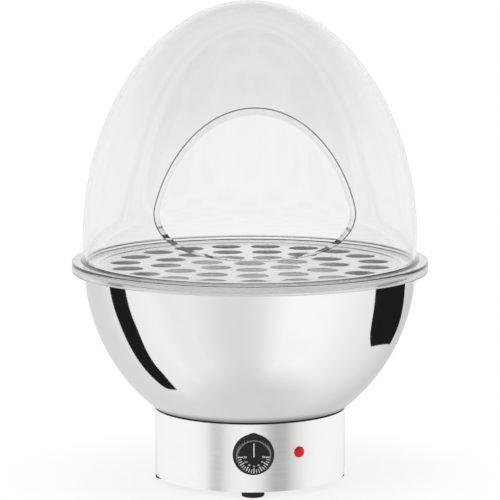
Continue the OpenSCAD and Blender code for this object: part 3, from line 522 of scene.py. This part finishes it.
outside = [(floor_radius * k / floor_rings, floor_level) for k in range(1, floor_rings)]
outside += [(floor_radius + blend_bend * math.sin(blend_angle * k / bend_rings),
             floor_level + blend_bend * (1 - math.cos(blend_angle * k / bend_rings)))
            for k in range(bend_rings + 1)]
first, last = math.asin(blend_share), math.asin(rim_share)
for k in range(1, wall_rings + 1):
    share = math.sin(first + (last - first) * k / wall_rings)
    outside.append((egg_curve(share, bowl_radius, bowl_powers), bowl_level - bowl_curve * share))
inside = offset_line(outside, bowl_sheet)
inside[-1] = (rim_radius - bowl_sheet, rim_level)
lip = [(bead_radius + bead * math.cos(a), bead_level + bead * math.sin(a))
       for a in [-lip_turn + (math.pi + lip_turn) * k / lip_rings for k in range(1, lip_rings + 1)]]
bowl = lathe("spun_bowl", [(0, floor_level)] + outside + lip + inside[::-1]
             + [(0, floor_level + bowl_sheet)], turn_steps)
smooth(bowl, 50)

mirror, tree, surface = finish("mirror_steel", Metallic=1.0)
grain = use(tree, turned_grain, Across=420.0, Along=1.5)
marks = use(tree, handling_marks, Scratch=320.0, Smudge=9.0)
polished = tint(tree, marks["Smudges"], (0.935, 0.935, 0.94), (0.90, 0.90, 0.905))
# Painted shade: the steel is painted darker in the crease above the ring, where shade falls between bowl and
# ring.
crease_shade_top, crease_shade_full = 0.0980, 0.0868
crease_shade_fall = ease(tree, own_axes(tree)["Z"], crease_shade_top, crease_shade_full)
uneven = noise(tree, own_place(tree), 24.0, 1.0)
painted_crease_shade = all_of(tree, crease_shade_fall, ease(tree, uneven, 0.3, 0.7, 0.88, 1.0))
colour_by(tree, surface, painted_crease_shade, polished, (0.09, 0.088, 0.086))
link(tree, smudged(tree, ease(tree, grain["Tone"], 0, 1, 0.025, 0.05), marks, 0.03), surface["Roughness"])
relief = calc(tree, "ADD", calc(tree, "MULTIPLY", grain["Height"], 0.4), marks["Scratches"])
emboss(tree, surface, relief, 0.0000012)
bowl.data.materials.append(mirror)

# Inside, the polish has gone dull and dark from steam
steamed, tree, surface = finish("steamed_steel", Metallic=1.0)
grain = use(tree, turned_grain, Across=700.0, Along=3.0)
marks = use(tree, handling_marks, Scratch=180.0, Smudge=22.0)
colour_by(tree, surface, marks["Smudges"], (0.46, 0.46, 0.47), (0.38, 0.38, 0.38))
link(tree, smudged(tree, ease(tree, grain["Tone"], 0, 1, 0.08, 0.14), marks, 0.08), surface["Roughness"])
emboss(tree, surface, calc(tree, "ADD", grain["Height"], marks["Scratches"]), 0.000003)
bowl.data.materials.append(steamed)
for polygon in bowl.data.polygons[turn_steps * (len(outside) + len(lip)):]:
    polygon.material_index = 1
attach(bowl, "base")
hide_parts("bowl")


# ---- Tray ring ----
# A pressed ring of satin steel that hangs on the bowl's lip: it turns down outside the lip, runs in
# as a flat and steps down to the ledge that the tray lies on. All its bends are softly rounded.
def rounded(outline, radius):
    """Rounds every corner of a closed outline; a third number in a point is its own radius."""
    pieces = 5
    result = []
    for i, corner in enumerate(outline):
        here = numpy.array(corner[:2])
        back = numpy.array(outline[i - 1][:2]) - here
        ahead = numpy.array(outline[(i + 1) % len(outline)][:2]) - here
        own = corner[2] if len(corner) > 2 else radius
        reach_back, reach_ahead = numpy.linalg.norm(back), numpy.linalg.norm(ahead)
        back, ahead = back / reach_back, ahead / reach_ahead
        opening = math.acos(max(-1, min(1, float(back @ ahead))))
        cut = min(own / math.tan(opening / 2), 0.45 * reach_back, 0.45 * reach_ahead) if own else 0
        if cut < 1e-7 or opening > math.radians(178):
            result.append(tuple(here))
            continue
        for k in range(pieces + 1):
            t = k / pieces
            result.append(tuple(here + back * cut * (1 - t) ** 2 + ahead * cut * t ** 2))
    return result


ledge_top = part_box("egg_tray")[0].z
ring_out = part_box("tray_ring")[1].x
ring_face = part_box("tray_ring")[1].z
sheet_t = 0.0012
drop = 0.005
step = 0.177942
ledge_in = step - 0.008
ring_outline = [
    (ring_out - sheet_t, ring_face - drop, 0.0002), (ring_out, ring_face - drop, 0.0002),
    (ring_out, ring_face, 0.0012), (step, ring_face, 0.0008), (step, ledge_top, 0.0003),
    (ledge_in, ledge_top, 0.0003), (ledge_in, ledge_top - sheet_t, 0.0003),
    (step + sheet_t, ledge_top - sheet_t, 0.0008), (step + sheet_t, ring_face - sheet_t, 0.0003),
    (ring_out - sheet_t, ring_face - sheet_t, 0.0001)]
tray_ring = lathe("tray_ring_pressed", rounded(ring_outline, 0.0003), turn_steps)
smooth(tray_ring, 40)
pressed, tree, surface = finish("pressed_steel", Metallic=1.0)
grain = use(tree, turned_grain, Across=900.0, Along=5.0)
marks = use(tree, handling_marks, Scratch=220.0, Smudge=20.0)
colour_by(tree, surface, grain["Tone"], (0.86, 0.86, 0.87), (0.92, 0.92, 0.92))
link(tree, smudged(tree, ease(tree, grain["Tone"], 0, 1, 0.14, 0.20), marks, 0.06), surface["Roughness"])
emboss(tree, surface, calc(tree, "ADD", grain["Height"], marks["Scratches"]), 0.000004)
tray_ring.data.materials.append(pressed)
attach(tray_ring, "base")
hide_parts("tray_ring")


# ---- Heater ----
# A tubular element bent to a ring and pressed against the bowl's floor by a clamp plate, with a
# felted insulation disc below it in a sheet pan. A disc thermostat cuts it off if it overheats.
sheath, tree, surface = finish("element_sheath", Metallic=1.0)
stain = noise(tree, own_place(tree), 55.0, 6.0)
colour_by(tree, surface, ease(tree, stain, 0.35, 0.65), (0.16, 0.15, 0.14), (0.33, 0.29, 0.25))
link(tree, ease(tree, stain, 0.3, 0.7, 0.35, 0.6), surface["Roughness"])
dress(sheath, "heating_element")

felt, tree, surface = finish("insulation_felt", Roughness=0.95)
fibre = noise(tree, own_place(tree), 1400.0, 5.0, 0.8)
colour_by(tree, surface, fibre, (0.62, 0.58, 0.48), (0.80, 0.77, 0.68))
emboss(tree, surface, fibre, 0.0004)
dress(felt, "insulation_disc")


# ---- Thermostat and its sensor ----
# A ceramic-bodied capillary thermostat behind the front wall. Its copper bulb lies against the
# bowl's floor, and a thin copper tube joins the two.
ceramic, tree, surface = finish("glazed_ceramic", Roughness=0.3, Coat_Weight=0.3)
speck = noise(tree, own_place(tree), 320.0, 4.0)
colour_by(tree, surface, ease(tree, speck, 0.55, 0.75), (0.80, 0.79, 0.76), (0.62, 0.60, 0.56))
link(tree, ease(tree, speck, 0.3, 0.7, 0.24, 0.4), surface["Roughness"])
dress(ceramic, "thermostat_body", "terminal_block", "safety_cutout")

copper, tree, surface = finish("drawn_copper", Metallic=1.0)
patina = noise(tree, own_place(tree), 130.0, 6.0)
colour_by(tree, surface, ease(tree, patina, 0.4, 0.7), (0.72, 0.38, 0.24), (0.36, 0.20, 0.13))
link(tree, ease(tree, patina, 0.3, 0.7, 0.22, 0.5), surface["Roughness"])
dress(copper, "sensor_bulb", "capillary_tube")


# ---- Wiring ----
# A three-pole ceramic terminal block with brass screws, an earth stud on the plate, and insulated
# leads with a soft sheath that run from pole to pole inside the base.
brass, tree, surface = finish("turned_brass", Metallic=1.0)
patina = noise(tree, own_place(tree), 260.0, 5.0)
colour_by(tree, surface, ease(tree, patina, 0.4, 0.7), (0.80, 0.61, 0.27), (0.45, 0.33, 0.15))
link(tree, ease(tree, patina, 0.3, 0.7, 0.2, 0.45), surface["Roughness"])
dress(brass, "terminal_screws", "earth_stud")

lead, tree, surface = finish("lead_sheath", Roughness=0.5)
grain = use(tree, moulded_grain, Grain=3500.0, Cloud=140.0)
colour_by(tree, surface, grain["Bloom"], (0.42, 0.05, 0.03), (0.50, 0.10, 0.07))
emboss(tree, surface, grain["Height"], 0.00003)
dress(lead, "internal_wires")


# ---- Pilot lamp ----
# A red lens moulded in one piece with its collar, pushed into the wall from outside and held by a
# spring clip behind it. The unlit lens is deep red, painted brighter along the rings on its inner face
# and towards the middle, a painted glow of the light that the rings catch.
lens, tree, surface = finish("red_lens", Roughness=0.2, Coat_Weight=0.15, Coat_Roughness=0.05,
                             Specular_IOR_Level=0.2, Subsurface_Weight=0.2, Subsurface_Scale=0.002)
lamp_turn = math.radians(28)
lamp_level = 0.0515
ring_fineness = 7500.0
lens_rim, lens_middle = 0.0066, 0.0030
axes = own_axes(tree)
aside = calc(tree, "ADD", calc(tree, "MULTIPLY", axes["X"], math.cos(lamp_turn)),
             calc(tree, "MULTIPLY", axes["Y"], math.sin(lamp_turn)))
out = diagonal(tree, aside, calc(tree, "SUBTRACT", axes["Z"], lamp_level))
wave = calc(tree, "SINE", calc(tree, "MULTIPLY", out, ring_fineness))
rings = calc(tree, "ADD", calc(tree, "MULTIPLY", wave, 0.5), 0.5)
# Painted glow: the rings and the middle of the lens are painted a brighter red.
painted_light_mask = all_of(tree, rings, ease(tree, out, lens_rim, lens_middle))
colour_by(tree, surface, painted_light_mask, (0.62, 0.004, 0.002), (0.98, 0.018, 0.006))
emboss(tree, surface, rings, 0.00008)
dress(lens, "pilot_lens")

nylon, tree, surface = finish("black_nylon", Roughness=0.42)
grain = use(tree, moulded_grain, Grain=3200.0, Cloud=110.0)
colour_by(tree, surface, grain["Bloom"], (0.022, 0.022, 0.024), (0.045, 0.045, 0.047))
link(tree, ease(tree, grain["Bloom"], 0, 1, 0.34, 0.5), surface["Roughness"])
emboss(tree, surface, grain["Height"], 0.00004)
dress(nylon, "pilot_body", "gland_body", "gland_dome_nut", "gland_lock_nut")


# ---- Knob ----
# Moulded from black thermoplastic: a wide skirt with an index lobe at the top and a grip with fine
# flutes, pushed on the thermostat's shaft. All its edges are rounded, as the mould leaves them.
knob_axis = 0.052
wall_front = -0.113
skirt_radius, skirt_gap, skirt_t = 0.024, 0.001, 0.003
lobe_out, lobe_radius = 0.0012, 0.009
grip_radius, grip_taper, grip_height = 0.02025, 0.0005, 0.0125
flute_count, flute_depth, flute_half = 36, 0.0006, 0.30
face_radius, face_t = 0.0175, 0.0008
skirt_front = skirt_gap + skirt_t
grip_front = skirt_front + grip_height
print_level = wall_front - grip_front
around_steps = flute_count * 16


def lobe_reach(angle):
    """How far the skirt's edge reaches past its circle, to form the lobe at the top."""
    centre = skirt_radius + lobe_out - lobe_radius
    inner = lobe_radius ** 2 - (centre * math.sin(angle)) ** 2
    lobed = centre * math.cos(angle) + math.sqrt(inner) if inner > 0 and math.cos(angle) > 0 else 0
    return max(skirt_radius, lobed) - skirt_radius


def flute(angle):
    """Depth of the flutes round the grip, from 0 on a ridge to 1 in a groove."""
    within = (angle * flute_count / (2 * math.pi)) % 1.0
    return max(0.0, 1 - ((within - 0.5) / flute_half) ** 2) ** 0.8


# Each row: radius, distance out of the wall, share of the lobe, share of the flutes
hub_radius, edge = 0.0101, 0.0004
grip_end = grip_radius - grip_taper
knob_rows = [
    (hub_radius, skirt_gap + 0.0055, 0, 0), (hub_radius, skirt_gap + edge, 0, 0),
    (hub_radius + edge, skirt_gap, 0, 0), (skirt_radius - edge, skirt_gap, 1, 0),
    (skirt_radius - 0.3 * edge, skirt_gap + 0.3 * edge, 1, 0), (skirt_radius, skirt_gap + edge, 1, 0),
    (skirt_radius, skirt_gap + 0.0015, 1, 0), (skirt_radius - 0.0002, skirt_gap + 0.0022, 1, 0),
    (skirt_radius - 0.0006, skirt_front - 0.0003, 1, 0), (skirt_radius - 0.0011, skirt_front, 0.9, 0),
    (grip_radius + 0.0009, skirt_front, 0.05, 0), (grip_radius + 0.0003, skirt_front + 0.00025, 0, 0),
    (grip_radius, skirt_front + 0.0008, 0, 0), (grip_radius - 0.00003, skirt_front + 0.0012, 0, 0.8),
    (grip_radius - 0.0001, skirt_front + 0.0025, 0, 1), (grip_end + 0.0001, grip_front - 0.0022, 0, 1),
    (grip_end, grip_front - 0.0013, 0, 0.9), (grip_end - 0.00012, grip_front - 0.0007, 0, 0.5),
    (grip_end - 0.0005, grip_front - 0.0002, 0, 0.1), (grip_end - 0.0010, grip_front, 0, 0),
    (face_radius + 0.0005, grip_front, 0, 0), (face_radius + 0.0001, grip_front - 0.0002, 0, 0),
    (face_radius + 0.0001, grip_front - face_t, 0, 0)]
mesh = bpy.data.meshes.new("control_knob")
moulded = bmesh.new()
rings = []
for radius, outward, lobed, fluted in knob_rows:
    ring = []
    for k in range(around_steps):
        angle = 2 * math.pi * k / around_steps
        reach = radius + lobed * lobe_reach(angle) - fluted * flute_depth * flute(angle)
        ring.append(moulded.verts.new((reach * math.sin(angle), wall_front - outward,
                                       knob_axis + reach * math.cos(angle))))
    rings.append(ring)
for here, there in zip(rings, rings[1:]):
    for k in range(around_steps):
        after = (k + 1) % around_steps
        moulded.faces.new((here[k], here[after], there[after], there[k]))
moulded.faces.new(rings[0])
moulded.faces.new(rings[-1])
settle(moulded, mesh)
knob = place("control_knob", mesh)
smooth(knob, 40)
knob_black, tree, surface = finish("knob_plastic", Roughness=0.3, Specular_IOR_Level=0.35)
grain = use(tree, moulded_grain, Grain=3800.0, Cloud=120.0)
deep_black = tint(tree, grain["Bloom"], (0.010, 0.010, 0.011), (0.018, 0.018, 0.020))
# Painted highlight: the grip's front edge is painted as a paler line, most on its upper half, where light from
# above catches the rounded rim.
highlight_deep, highlight_front, highlight_in, highlight_out = 0.0012, 0.0003, 0.0183, 0.0189
axes = own_axes(tree)
above = calc(tree, "SUBTRACT", axes["Z"], knob_axis)
out = diagonal(tree, axes["X"], above)
painted_rim_highlight = all_of(tree, ease(tree, axes["Y"], print_level + highlight_deep, print_level + highlight_front),
                ease(tree, out, highlight_in, highlight_out), ease(tree, above, -0.006, 0.010, 0.0, 0.8))
colour_by(tree, surface, painted_rim_highlight, deep_black, (0.30, 0.30, 0.31))
link(tree, ease(tree, grain["Bloom"], 0, 1, 0.25, 0.36), surface["Roughness"])
emboss(tree, surface, grain["Height"], 0.00002)
mesh.materials.append(knob_black)
knob.visible_glossy = False
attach(knob, "knob")
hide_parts("knob")


# ---- Knob face and its print ----
# A thin black disc let into the grip, printed in white: a scale of strokes round its lower half
# with the temperatures inside them, and the pointer line to the top.
face_outline = rounded([(0, 0), (face_radius, 0, 0.00015), (face_radius, face_t), (0, face_t)], 0)
face_steps = 128
face = lathe("knob_face_disc", face_outline, face_steps)
for vertex in face.data.vertices:
    x, y, z = vertex.co
    vertex.co = (x, print_level + z, knob_axis - y)
face.data.flip_normals()
smooth(face, 40)
face_black, tree, surface = finish("face_black", Roughness=0.38, Specular_IOR_Level=0.25)
grain = use(tree, moulded_grain, Grain=2500.0, Cloud=160.0)
colour_by(tree, surface, grain["Bloom"], (0.007, 0.007, 0.0075), (0.014, 0.014, 0.015))
link(tree, ease(tree, grain["Bloom"], 0, 1, 0.32, 0.45), surface["Roughness"])
face.data.materials.append(face_black)
face.visible_glossy = False
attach(face, "knob")
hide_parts("knob_face")

print_white, tree, surface = finish("print_white", Roughness=0.5)
wear = noise(tree, own_place(tree), 900.0, 4.0)
colour_by(tree, surface, ease(tree, wear, 0.62, 0.8), (0.90, 0.90, 0.89), (0.55, 0.55, 0.55))
ink = 0.00003


def print_on(name, mesh):
    """Fixes a white mark to the knob."""
    mesh.materials.append(print_white)
    mark = place(name, mesh)
    mark.visible_glossy = False
    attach(mark, "knob")


def printed(name, corners):
    """A flat white mark on the face; corners are (right, up) from the knob's axis."""
    mesh = bpy.data.meshes.new(name)
    count = len(corners)
    points = [(x, print_level - depth, knob_axis + z) for depth in (0.0, ink) for x, z in corners]
    faces = [tuple(range(count, 2 * count)), tuple(range(count - 1, -1, -1))]
    faces += [(k, (k + 1) % count, count + (k + 1) % count, count + k) for k in range(count)]
    mesh.from_pydata(points, [], faces)
    print_on(name, mesh)


def stroke(name, angle, inner, outer, width):
    """A straight stroke along a radius; the angle is clockwise from the top."""
    s, c = math.sin(angle), math.cos(angle)
    half = width / 2
    printed(name, [(inner * s - half * c, inner * c + half * s), (outer * s - half * c, outer * c + half * s),
                   (outer * s + half * c, outer * c - half * s), (inner * s + half * c, inner * c - half * s)])


pointer_half, pointer_end = 0.0005, 0.0135
dot_radius, dot_out = 0.0009, 0.0149
printed("pointer_line", [(-pointer_half, 0.0), (pointer_half, 0.0), (pointer_half, pointer_end),
                         (-pointer_half, pointer_end)])
printed("pointer_dot", [(dot_radius * math.sin(a), dot_out + dot_radius * math.cos(a))
                        for a in [2 * math.pi * k / 24 for k in range(24)]])

# The scale runs clockwise from the right: a stroke every 10 degrees, a long one with a number every 30
scale_out, number_reach = 0.0186, 0.0108
number_size, end_number_size = 0.0027, 0.0034
for k in range(19):
    start, width = (0.0130, 0.0009) if k % 3 == 0 else (0.0144, 0.0007)
    stroke("scale_stroke_%02d" % k, math.radians(90 + 10 * k), start, scale_out, width)
for k, number in enumerate(("30", "45", "60", "75", "90", "105", "120")):
    angle = math.radians(90 + 30 * k)
    letters = bpy.data.curves.new("scale_number_" + number, "FONT")
    letters.body = number
    letters.size = end_number_size if k in (0, 6) else number_size
    letters.align_x = "CENTER"
    letters.align_y = "CENTER"
    letters.extrude = ink / 2
    sign = place("scale_number_" + number, letters)
    bpy.context.view_layer.update()
    flat = bpy.data.meshes.new_from_object(sign)
    bpy.data.objects.remove(sign)
    for vertex in flat.vertices:
        x, y, z = vertex.co
        vertex.co = (x + number_reach * math.sin(angle), print_level - ink / 2 - z,
                     knob_axis + y + number_reach * math.cos(angle))
    flat.materials.clear()
    print_on("scale_number_" + number, flat)


# ---- Egg tray ----
# A flat disc of stainless sheet with seats punched for forty eggs, the edges of the seats eased,
# and small steam holes along its rim. It is ground in straight lines before punching.
tray_steel, tree, surface = finish("tray_steel", Metallic=1.0)
spot = put(tree, "Mapping", {"Vector": own_place(tree), "Scale": (14.0, 2200.0, 900.0)}).outputs[0]
grain = noise(tree, spot, 1.0, 3.0, 0.7)
marks = use(tree, handling_marks, Scratch=200.0, Smudge=18.0)
colour_by(tree, surface, grain, (0.84, 0.84, 0.85), (0.92, 0.92, 0.92))
link(tree, smudged(tree, ease(tree, grain, 0.3, 0.7, 0.24, 0.34), marks, 0.05), surface["Roughness"])
emboss(tree, surface, calc(tree, "ADD", grain, marks["Scratches"]), 0.000006)
dress(tray_steel, "egg_tray")


# ---- Clear dome ----
# Acrylic blown to an egg shape with a flange left round its foot, the hand opening sawn off in one
# curved cut from the side and its edge flame-polished. Only haze and a few hairlines show.
dome_radius = 0.196442
dome_wall = 0.004
dome_foot = 0.259560
flange_t = 0.003
flange_radius = 0.209942
curve_level = 0.294560
curve_height = 0.2725
dome_powers = (1.92, 1.96)
cut_plane = -0.156442
cut_centre = (-0.218442, 0.345430)
cut_bend = 0.062
sill_angle = math.radians(27)
sill_point = (-0.196442, 0.287060)

rows = 84
egg = [(egg_curve(math.sin(math.pi / 2 * k / rows), dome_radius, dome_powers),
        curve_level + curve_height * math.sin(math.pi / 2 * k / rows)) for k in range(rows + 1)]
egg[-1] = (0.0, curve_level + curve_height)
inner_egg = offset_line(egg, dome_wall)
inner_egg[0] = (dome_radius - dome_wall, curve_level)
inner_egg[-1] = (0.0, curve_level + curve_height - dome_wall)
fillet = 0.003
root_rise, inner_rise = 0.006, 0.001
fillet_top = dome_foot + root_rise
root = [(dome_radius + fillet - fillet * math.sin(a), dome_foot + flange_t + fillet - fillet * math.cos(a))
        for a in [math.pi / 2 * k / 8 for k in range(9)]]
edge = rounded([(dome_radius - dome_wall, dome_foot, 0.0003), (flange_radius, dome_foot, 0.0006),
                (flange_radius, dome_foot + flange_t, 0.0006),
                (dome_radius + fillet, dome_foot + flange_t + 0.00001, 0)], 0)
upright = [(dome_radius, fillet_top + (curve_level - dome_foot - root_rise) * k / 8)
           for k in range(1, 8)]
inner_upright = [(dome_radius - dome_wall,
                  dome_foot + inner_rise + (curve_level - dome_foot - inner_rise) * k / 9)
                 for k in range(1, 9)]
dome = lathe("clear_dome", edge[:-1] + root + upright + egg + inner_egg[::-1] + inner_upright[::-1],
             turn_steps)

# The saw's way from the side, closed by corners that lie outside the shell
beyond, above_all, beside = -0.30, 0.70, 0.25
side_line = [(beyond, above_all), (cut_plane, above_all)]
side_line += [(cut_centre[0] + cut_bend * math.cos(a), cut_centre[1] + cut_bend * math.sin(a))
              for a in [-(math.pi / 2 - sill_angle) * k / 40 for k in range(41)]]
side_line.append((beyond, sill_point[1] + (beyond - sill_point[0]) * math.tan(sill_angle)))
mesh = bpy.data.meshes.new("opening_cut")
count = len(side_line)
mesh.from_pydata([(x, y, z) for x in (-beside, beside) for y, z in side_line], [],
                 [tuple(range(count)), tuple(range(2 * count - 1, count - 1, -1))]
                 + [(k, count + k, count + (k + 1) % count, (k + 1) % count) for k in range(count)])
cutter = place("opening_cut", mesh)
shaping = bmesh.new()
shaping.from_mesh(mesh)
settle(shaping, mesh)
saw = dome.modifiers.new("hand_opening", "BOOLEAN")
saw.operation = "DIFFERENCE"
saw.solver = "EXACT"
saw.object = cutter
bpy.context.view_layer.update()
cut_mesh = bpy.data.meshes.new_from_object(dome.evaluated_get(bpy.context.evaluated_depsgraph_get()))
dome.modifiers.clear()
dome.data = cut_mesh
bpy.data.objects.remove(cutter)


# The blown surface is smoother than any mesh, so its normals come from the curve itself
def normal_table(line):
    """Polar place along an outline and the outline's own normal there."""
    places = [math.atan2(level - curve_level, radius) for radius, level in line]
    ways = [way_along(line, i) for i in range(len(line))]
    across, along = [rise for run, rise in ways], [-run for run, rise in ways]
    across[0], along[0], across[-1], along[-1] = 1.0, 0.0, 0.0, 1.0
    return numpy.array(places), numpy.array(across), numpy.array(along)


outer_table, inner_table = normal_table(egg), normal_table(inner_egg)


def curve_normal(table, point):
    """The curve's normal at the height of a point, turned to the point's side of the axis."""
    places, across, along = table
    radius = math.hypot(point.x, point.y)
    if radius < 1e-6:
        return (0.0, 0.0, 1.0)
    spot = max(0.0, math.atan2(point.z - curve_level, radius))
    out, up = float(numpy.interp(spot, places, across)), float(numpy.interp(spot, places, along))
    length = math.hypot(out, up)
    return (point.x / radius * out / length, point.y / radius * out / length, up / length)


cut_mesh.shade_smooth()
normals = []
sawn_faces = []
on_saw, near_bend, near_curve = 0.0003, 0.0006, 0.985
for polygon in cut_mesh.polygons:
    centre, facing = polygon.center, polygon.normal
    on_curve = centre.z > fillet_top
    ideal = curve_normal(outer_table, centre)
    lean = facing.x * ideal[0] + facing.y * ideal[1] + facing.z * ideal[2]
    along_saw = abs(facing.x) < 0.01
    off_bend = abs(math.hypot(centre.y - cut_centre[0], centre.z - cut_centre[1]) - cut_bend)
    off_sill = abs(centre.z - sill_point[1] - (centre.y - sill_point[0]) * math.tan(sill_angle))
    if along_saw and min(abs(centre.y - cut_plane), off_bend, off_sill) < on_saw:
        sawn_faces.append(polygon.index)
    for loop in polygon.loop_indices:
        point = cut_mesh.vertices[cut_mesh.loops[loop].vertex_index].co
        if on_curve and lean > near_curve:
            normals.append(curve_normal(outer_table, point))
        elif on_curve and lean < -near_curve:
            normals.append(tuple(-c for c in curve_normal(inner_table, point)))
        elif off_bend < near_bend and along_saw and facing.y < -0.01 and centre.z < cut_centre[1]:
            normals.append((0.0, (cut_centre[0] - point.y) / cut_bend, (cut_centre[1] - point.z) / cut_bend))
        elif abs(facing.z) > 0.99 or along_saw:
            normals.append(tuple(facing))
        else:
            normals.append((0.0, 0.0, 0.0))
cut_mesh.normals_split_custom_set(normals)


def let_shadow_rays_by(tree, shade):
    """Clear plastic throws only a faint shadow: shadow rays pass it as through a tinted pane."""
    shadow_ray = put(tree, "LightPath").outputs["Is Shadow Ray"]
    pane = put(tree, "BsdfTransparent", {"Color": (*shade, 1)}).outputs[0]
    body = tree.nodes["Principled BSDF"].outputs[0]
    mixed = put(tree, "MixShader", {0: shadow_ray, 1: body, 2: pane}).outputs[0]
    link(tree, mixed, tree.nodes["Material Output"].inputs["Surface"])


acrylic, tree, surface = finish("clear_acrylic", Transmission_Weight=1.0, IOR=1.49, Roughness=0.0)
marks = use(tree, handling_marks, Scratch=140.0, Smudge=7.0)
# Painted shade: the acrylic is tinted a little darker towards the top.
low_tone = tint(tree, marks["Smudges"], (0.930, 0.932, 0.932), (0.922, 0.924, 0.925))
high_tone = tint(tree, marks["Smudges"], (0.912, 0.914, 0.914), (0.904, 0.906, 0.907))
low_to, high_from = 0.36, 0.48
painted_top_shade = ease(tree, own_axes(tree)["Z"], low_to, high_from)
colour_by(tree, surface, painted_top_shade, low_tone, high_tone)
link(tree, ease(tree, marks["Smudges"], 0, 1, 0.0, 0.03), surface["Roughness"])
emboss(tree, surface, marks["Scratches"], 0.000002)
let_shadow_rays_by(tree, (0.90, 0.905, 0.905))

# Painted shade: the sawn edge is painted dark, most where it meets the outer face, for the light that runs
# along inside the sheet.
sawn, tree, surface = finish("sawn_acrylic", Transmission_Weight=1.0, IOR=1.49, Roughness=0.04)
axes = own_axes(tree)
share = calc(tree, "DIVIDE", calc(tree, "SUBTRACT", axes["Z"], curve_level), curve_height, clamp=True)
curve = calc(tree, "SUBTRACT", 1, calc(tree, "POWER", share, dome_powers[0]))
curve = calc(tree, "MULTIPLY", calc(tree, "POWER", curve, 1 / dome_powers[1]), dome_radius)
depth = calc(tree, "SUBTRACT", curve, diagonal(tree, axes["X"], axes["Y"]))
dark_to, dark_from = 0.0011, 0.0005
painted_light_mask = ease(tree, depth, dark_to, dark_from)
colour_by(tree, surface, painted_light_mask, (0.90, 0.905, 0.905), (0.02, 0.02, 0.02))
marks = use(tree, handling_marks, Scratch=500.0, Smudge=30.0)
emboss(tree, surface, marks["Scratches"], 0.000003)
cut_mesh.materials.clear()
cut_mesh.materials.append(acrylic)
cut_mesh.materials.append(sawn)
for index in sawn_faces:
    cut_mesh.polygons[index].material_index = 1
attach(dome, "dome")
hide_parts("dome", "dome_flange")


# ---- Seat band ----
# A ring of the same acrylic bonded under the flange. It slips over the edge of the tray ring and
# centres the dome. Its turned faces are left slightly matt.
band_in = 0.201442
band_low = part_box("dome_seat_band")[0].z
bond = 0.00003
band_top = dome_foot - bond
band_outline = rounded([(band_in, band_low, 0.0003), (flange_radius, band_low, 0.0006),
                        (flange_radius, band_top, 0.0006), (band_in, band_top, 0.0002)], 0)
band = lathe("seat_band", band_outline, turn_steps)
smooth(band, 40)
matt_acrylic, tree, surface = finish("turned_acrylic", Transmission_Weight=1.0, IOR=1.49)
grain = use(tree, turned_grain, Across=1300.0, Along=4.0)
colour_by(tree, surface, grain["Tone"], (0.78, 0.785, 0.785), (0.83, 0.83, 0.83))
link(tree, ease(tree, grain["Tone"], 0, 1, 0.10, 0.20), surface["Roughness"])
emboss(tree, surface, grain["Height"], 0.000003)
let_shadow_rays_by(tree, (0.80, 0.805, 0.805))
band.data.materials.append(matt_acrylic)
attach(band, "dome")
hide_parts("dome_seat_band")

bpy.context.view_layer.update()
